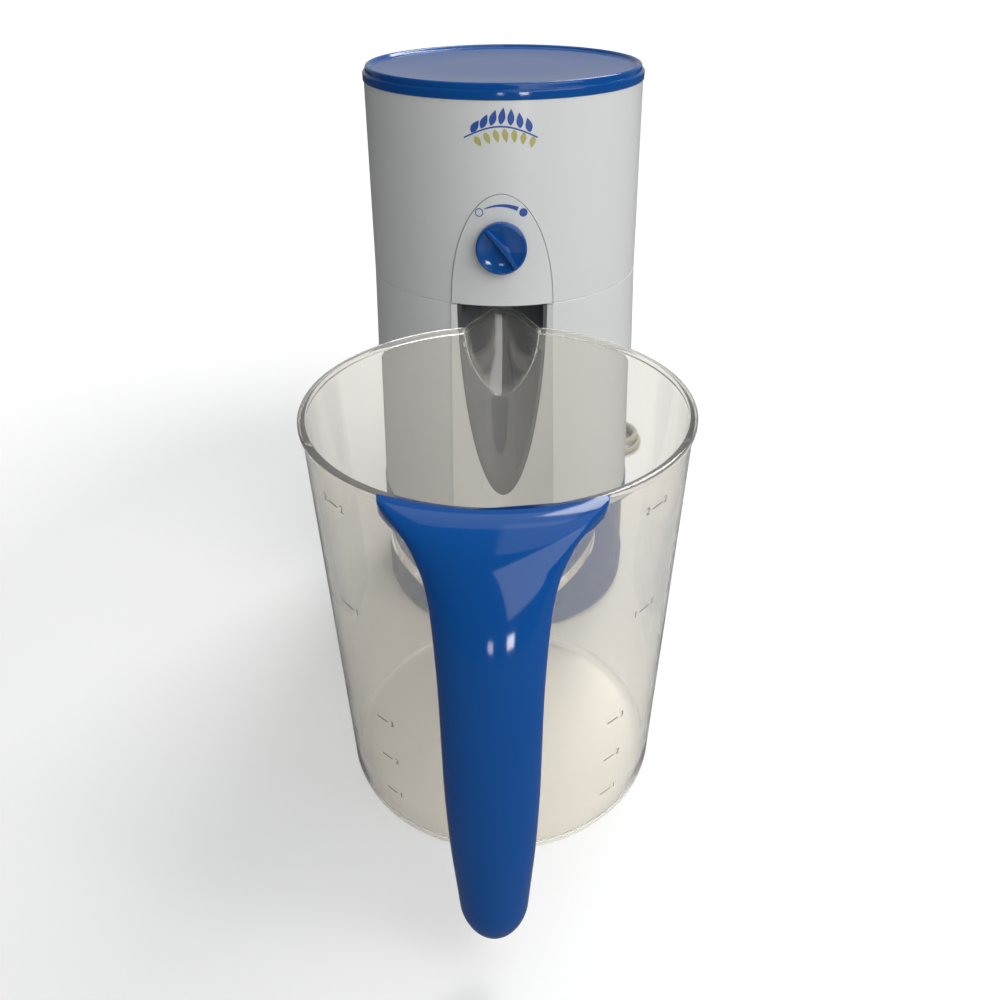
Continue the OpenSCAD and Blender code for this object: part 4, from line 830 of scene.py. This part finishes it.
def lay_on(bm, carrier, lift=0.02, ink=0.08):
    """Drops flat shapes, drawn in x and z, on the front of a node, and thickens them to a layer."""
    for vert in bm.verts:
        hit, place, *_ = nodes[carrier].ray_cast(Vector((vert.co.x, -0.3, vert.co.z)), Vector((0, 1, 0)))
        if hit:
            vert.co.y = place.y - lift * MM
    bmesh.ops.recalc_face_normals(bm, faces=bm.faces)
    if sum(face.normal.y for face in bm.faces) > 0:
        bmesh.ops.reverse_faces(bm, faces=bm.faces)
    grown = bmesh.ops.extrude_face_region(bm, geom=bm.faces[:])["geom"]
    bmesh.ops.translate(bm, vec=(0, -ink * MM, 0), verts=corners_of(grown))
    bmesh.ops.recalc_face_normals(bm, faces=bm.faces)


def strip(bm, left, right):
    """Fills the band between two rows of (x, z) points in mm."""
    rows = [[bm.verts.new((x * MM, 0, z * MM)) for x, z in row] for row in (left, right)]
    edges = [bm.edges.new(pair) for row in rows for pair in zip(row, row[1:])]
    bmesh.ops.bridge_loops(bm, edges=edges)


def ring_points(cx, cz, radius, start=0, stop=360, count=32):
    """Points on a circle's arc, from start to stop degrees clockwise from the top."""
    turns = [math.radians(start + (stop - start) * i / count) for i in range(count + 1)]
    return [(cx + radius * math.sin(a), cz + radius * math.cos(a)) for a in turns]


# %% [markdown]
# ### The marks beside the dial
# The circles and the wedge are strips between two rows of points, printed in blue. A flat strip is
# the simplest form that can follow a curve and still be given a thickness.

# %% Print the marks beside the dial
bm = bmesh.new()
MARK_X, MARK_Z, MARK_R, WEDGE_R = 10.6, DIAL_Z + 16.2, 2.0, 19.6
strip(bm, ring_points(-MARK_X, MARK_Z, 1.6), ring_points(-MARK_X, MARK_Z, MARK_R))
strip(bm, ring_points(MARK_X, MARK_Z, 0.02), ring_points(MARK_X, MARK_Z, MARK_R))
wedge = [(WEDGE_R - 0.2 - 0.8 * i / 24, WEDGE_R + 0.2 + 0.8 * i / 24) for i in range(25)]
turns = [math.radians(-24 + 48 * i / 24) for i in range(25)]
strip(bm, [(low * math.sin(a), DIAL_Z + low * math.cos(a)) for (low, _), a in zip(wedge, turns)],
      [(high * math.sin(a), DIAL_Z + high * math.cos(a)) for (_, high), a in zip(wedge, turns)])
bmesh.ops.remove_doubles(bm, verts=bm.verts, dist=1e-5)
lay_on(bm, "control_panel")
finish_piece("dial_print", bm, "blue_ink", "head", sharp=60)

# %% [markdown]
# ### The sprig
# A small decoration on the head: a bowed stem with seven blue leaves above it and seven yellowish
# green ones below. A leaf is the strip between two curves that meet at its foot and at its tip.

# %% Print the sprig


def leaf(bm, x, z, angle, length, width):
    """A leaf from its foot at x and z: the two sides of a pointed oval."""
    turn = math.radians(angle)
    sides = []
    for side in (-1, 1):
        row = []
        for i in range(13):
            f = i / 12
            out = side * width / 2 * math.sin(math.pi * f**0.8)
            row.append((x + length * f * math.sin(turn) + out * math.cos(turn),
                        z + length * f * math.cos(turn) - out * math.sin(turn)))
        sides.append(row)
    strip(bm, *sides)


sprig_blue, sprig_green = bmesh.new(), bmesh.new()
stem = [(-17 + 34 * i / 30, 288 + 5 * math.sin(math.pi * i / 30)) for i in range(31)]
strip(sprig_blue, [(x, z - 0.35) for x, z in stem], [(x, z + 0.35) for x, z in stem])
for i, (x, z) in enumerate(stem[3:29:4]):
    tilt = 35 - 8 * i
    leaf(sprig_blue, x, z + 0.8, tilt, 7.5 - 0.35 * abs(i - 3), 3.2)
    leaf(sprig_green, x + 1.6, z - 0.9, 180 - tilt, 6.2 - 0.3 * abs(i - 3), 2.8)
for bm, name, ink in (
    (sprig_blue, "sprig_blue", "blue_ink"),
    (sprig_green, "sprig_green", "leaf_ink"),
):
    bmesh.ops.remove_doubles(bm, verts=bm.verts, dist=1e-5)
    lay_on(bm, "brew_head")
    finish_piece(name, bm, ink, "head", sharp=60)

# %% [markdown]
# ### The fill marks
# The pitcher has two scales on each side of its handle, one for water and one for ice. Each mark is a
# short bar with a number beside it, frosted into the wall. Text is made a mesh first, and every corner
# is then bent round the wall.

# %% Helpers for the fill marks


def number(text, size):
    """A number as a mesh in mm, centred, with the thickness of a frosted layer."""
    curve = bpy.data.curves.new("number", "FONT")
    curve.body = text
    curve.size = size
    curve.extrude = 0.06
    curve.align_x, curve.align_y = "CENTER", "CENTER"
    curve.resolution_u = 3
    drawn = bpy.data.objects.new("number", curve)
    bpy.context.scene.collection.objects.link(drawn)
    shown = bpy.context.evaluated_depsgraph_get()
    mesh = bpy.data.meshes.new_from_object(drawn.evaluated_get(shown))
    bpy.data.objects.remove(drawn)
    return mesh


def bend_on(bm, first, angle, height, at):
    """Wraps flat points, in mm with z as thickness, round the wall at an angle from the handle."""
    for vert in list(bm.verts)[first:]:
        u, v, w = vert.co + Vector((at, 0, 0))
        r = wall_r(height + v) + w + 0.05
        a = math.radians(angle) + u / r
        vert.co = Vector((r * math.sin(a), -r * math.cos(a), height + v)) * MM


def mark_bar(angle, height, length=6.5, thick=0.7):
    """A short bar on the wall, cut across so that it can bend."""
    first = len(bm.verts)
    bmesh.ops.create_grid(bm, x_segments=4, y_segments=1, size=0.5)
    low = list(bm.faces)[-4:]
    grown = bmesh.ops.extrude_face_region(bm, geom=low, use_keep_orig=True)["geom"]
    bmesh.ops.translate(bm, vec=(0, 0, 0.12), verts=corners_of(grown))
    bmesh.ops.scale(bm, vec=(length, thick, 1), verts=list(bm.verts)[first:])
    bend_on(bm, first, angle, height, 0.0)


def mark_number(text, size, angle, height, at):
    """A number on the wall, beside its bar."""
    first = len(bm.verts)
    mesh = number(text, size)
    bm.from_mesh(mesh)
    bpy.data.meshes.remove(mesh)
    bend_on(bm, first, angle, height, at)


# %% [markdown]
# ### Where the marks stand
# Water is read on the lower scale, nearer to the handle, and ice on the upper one, further round. The
# bars and numbers are one piece, because the mould frosts them all at once.

# %% Mark the pitcher's wall
WATER_DEG, ICE_DEG, NUMBER_SIZE, BESIDE = 40, 49.5, 5, 6
bm = bmesh.new()
for side in (-1, 1):
    for height, text in ((24, "1"), (48, "2"), (73, "3")):
        mark_bar(side * WATER_DEG, height)
        mark_number(text, NUMBER_SIZE, side * WATER_DEG, height, BESIDE)
    for height, text in ((131, "1"), (183, "2")):
        mark_bar(side * ICE_DEG, height)
        mark_number(text, NUMBER_SIZE, side * ICE_DEG, height, BESIDE)
        mark_number(text, NUMBER_SIZE, side * ICE_DEG, height, -BESIDE)
bmesh.ops.remove_doubles(bm, verts=bm.verts, dist=1e-6)
bmesh.ops.recalc_face_normals(bm, faces=bm.faces)
finish_piece("fill_marks", bm, "mark_ink", "pitcher", at=PITCHER, sharp=40)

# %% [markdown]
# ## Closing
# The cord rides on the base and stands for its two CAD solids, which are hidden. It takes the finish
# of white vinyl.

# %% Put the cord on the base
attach(cord, "base")
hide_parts("cord_lead", "cord_hank")
cord_mesh.materials.clear()
cord_mesh.materials.append(finishes["cord_white"])
print("cord declared on", cord.name)
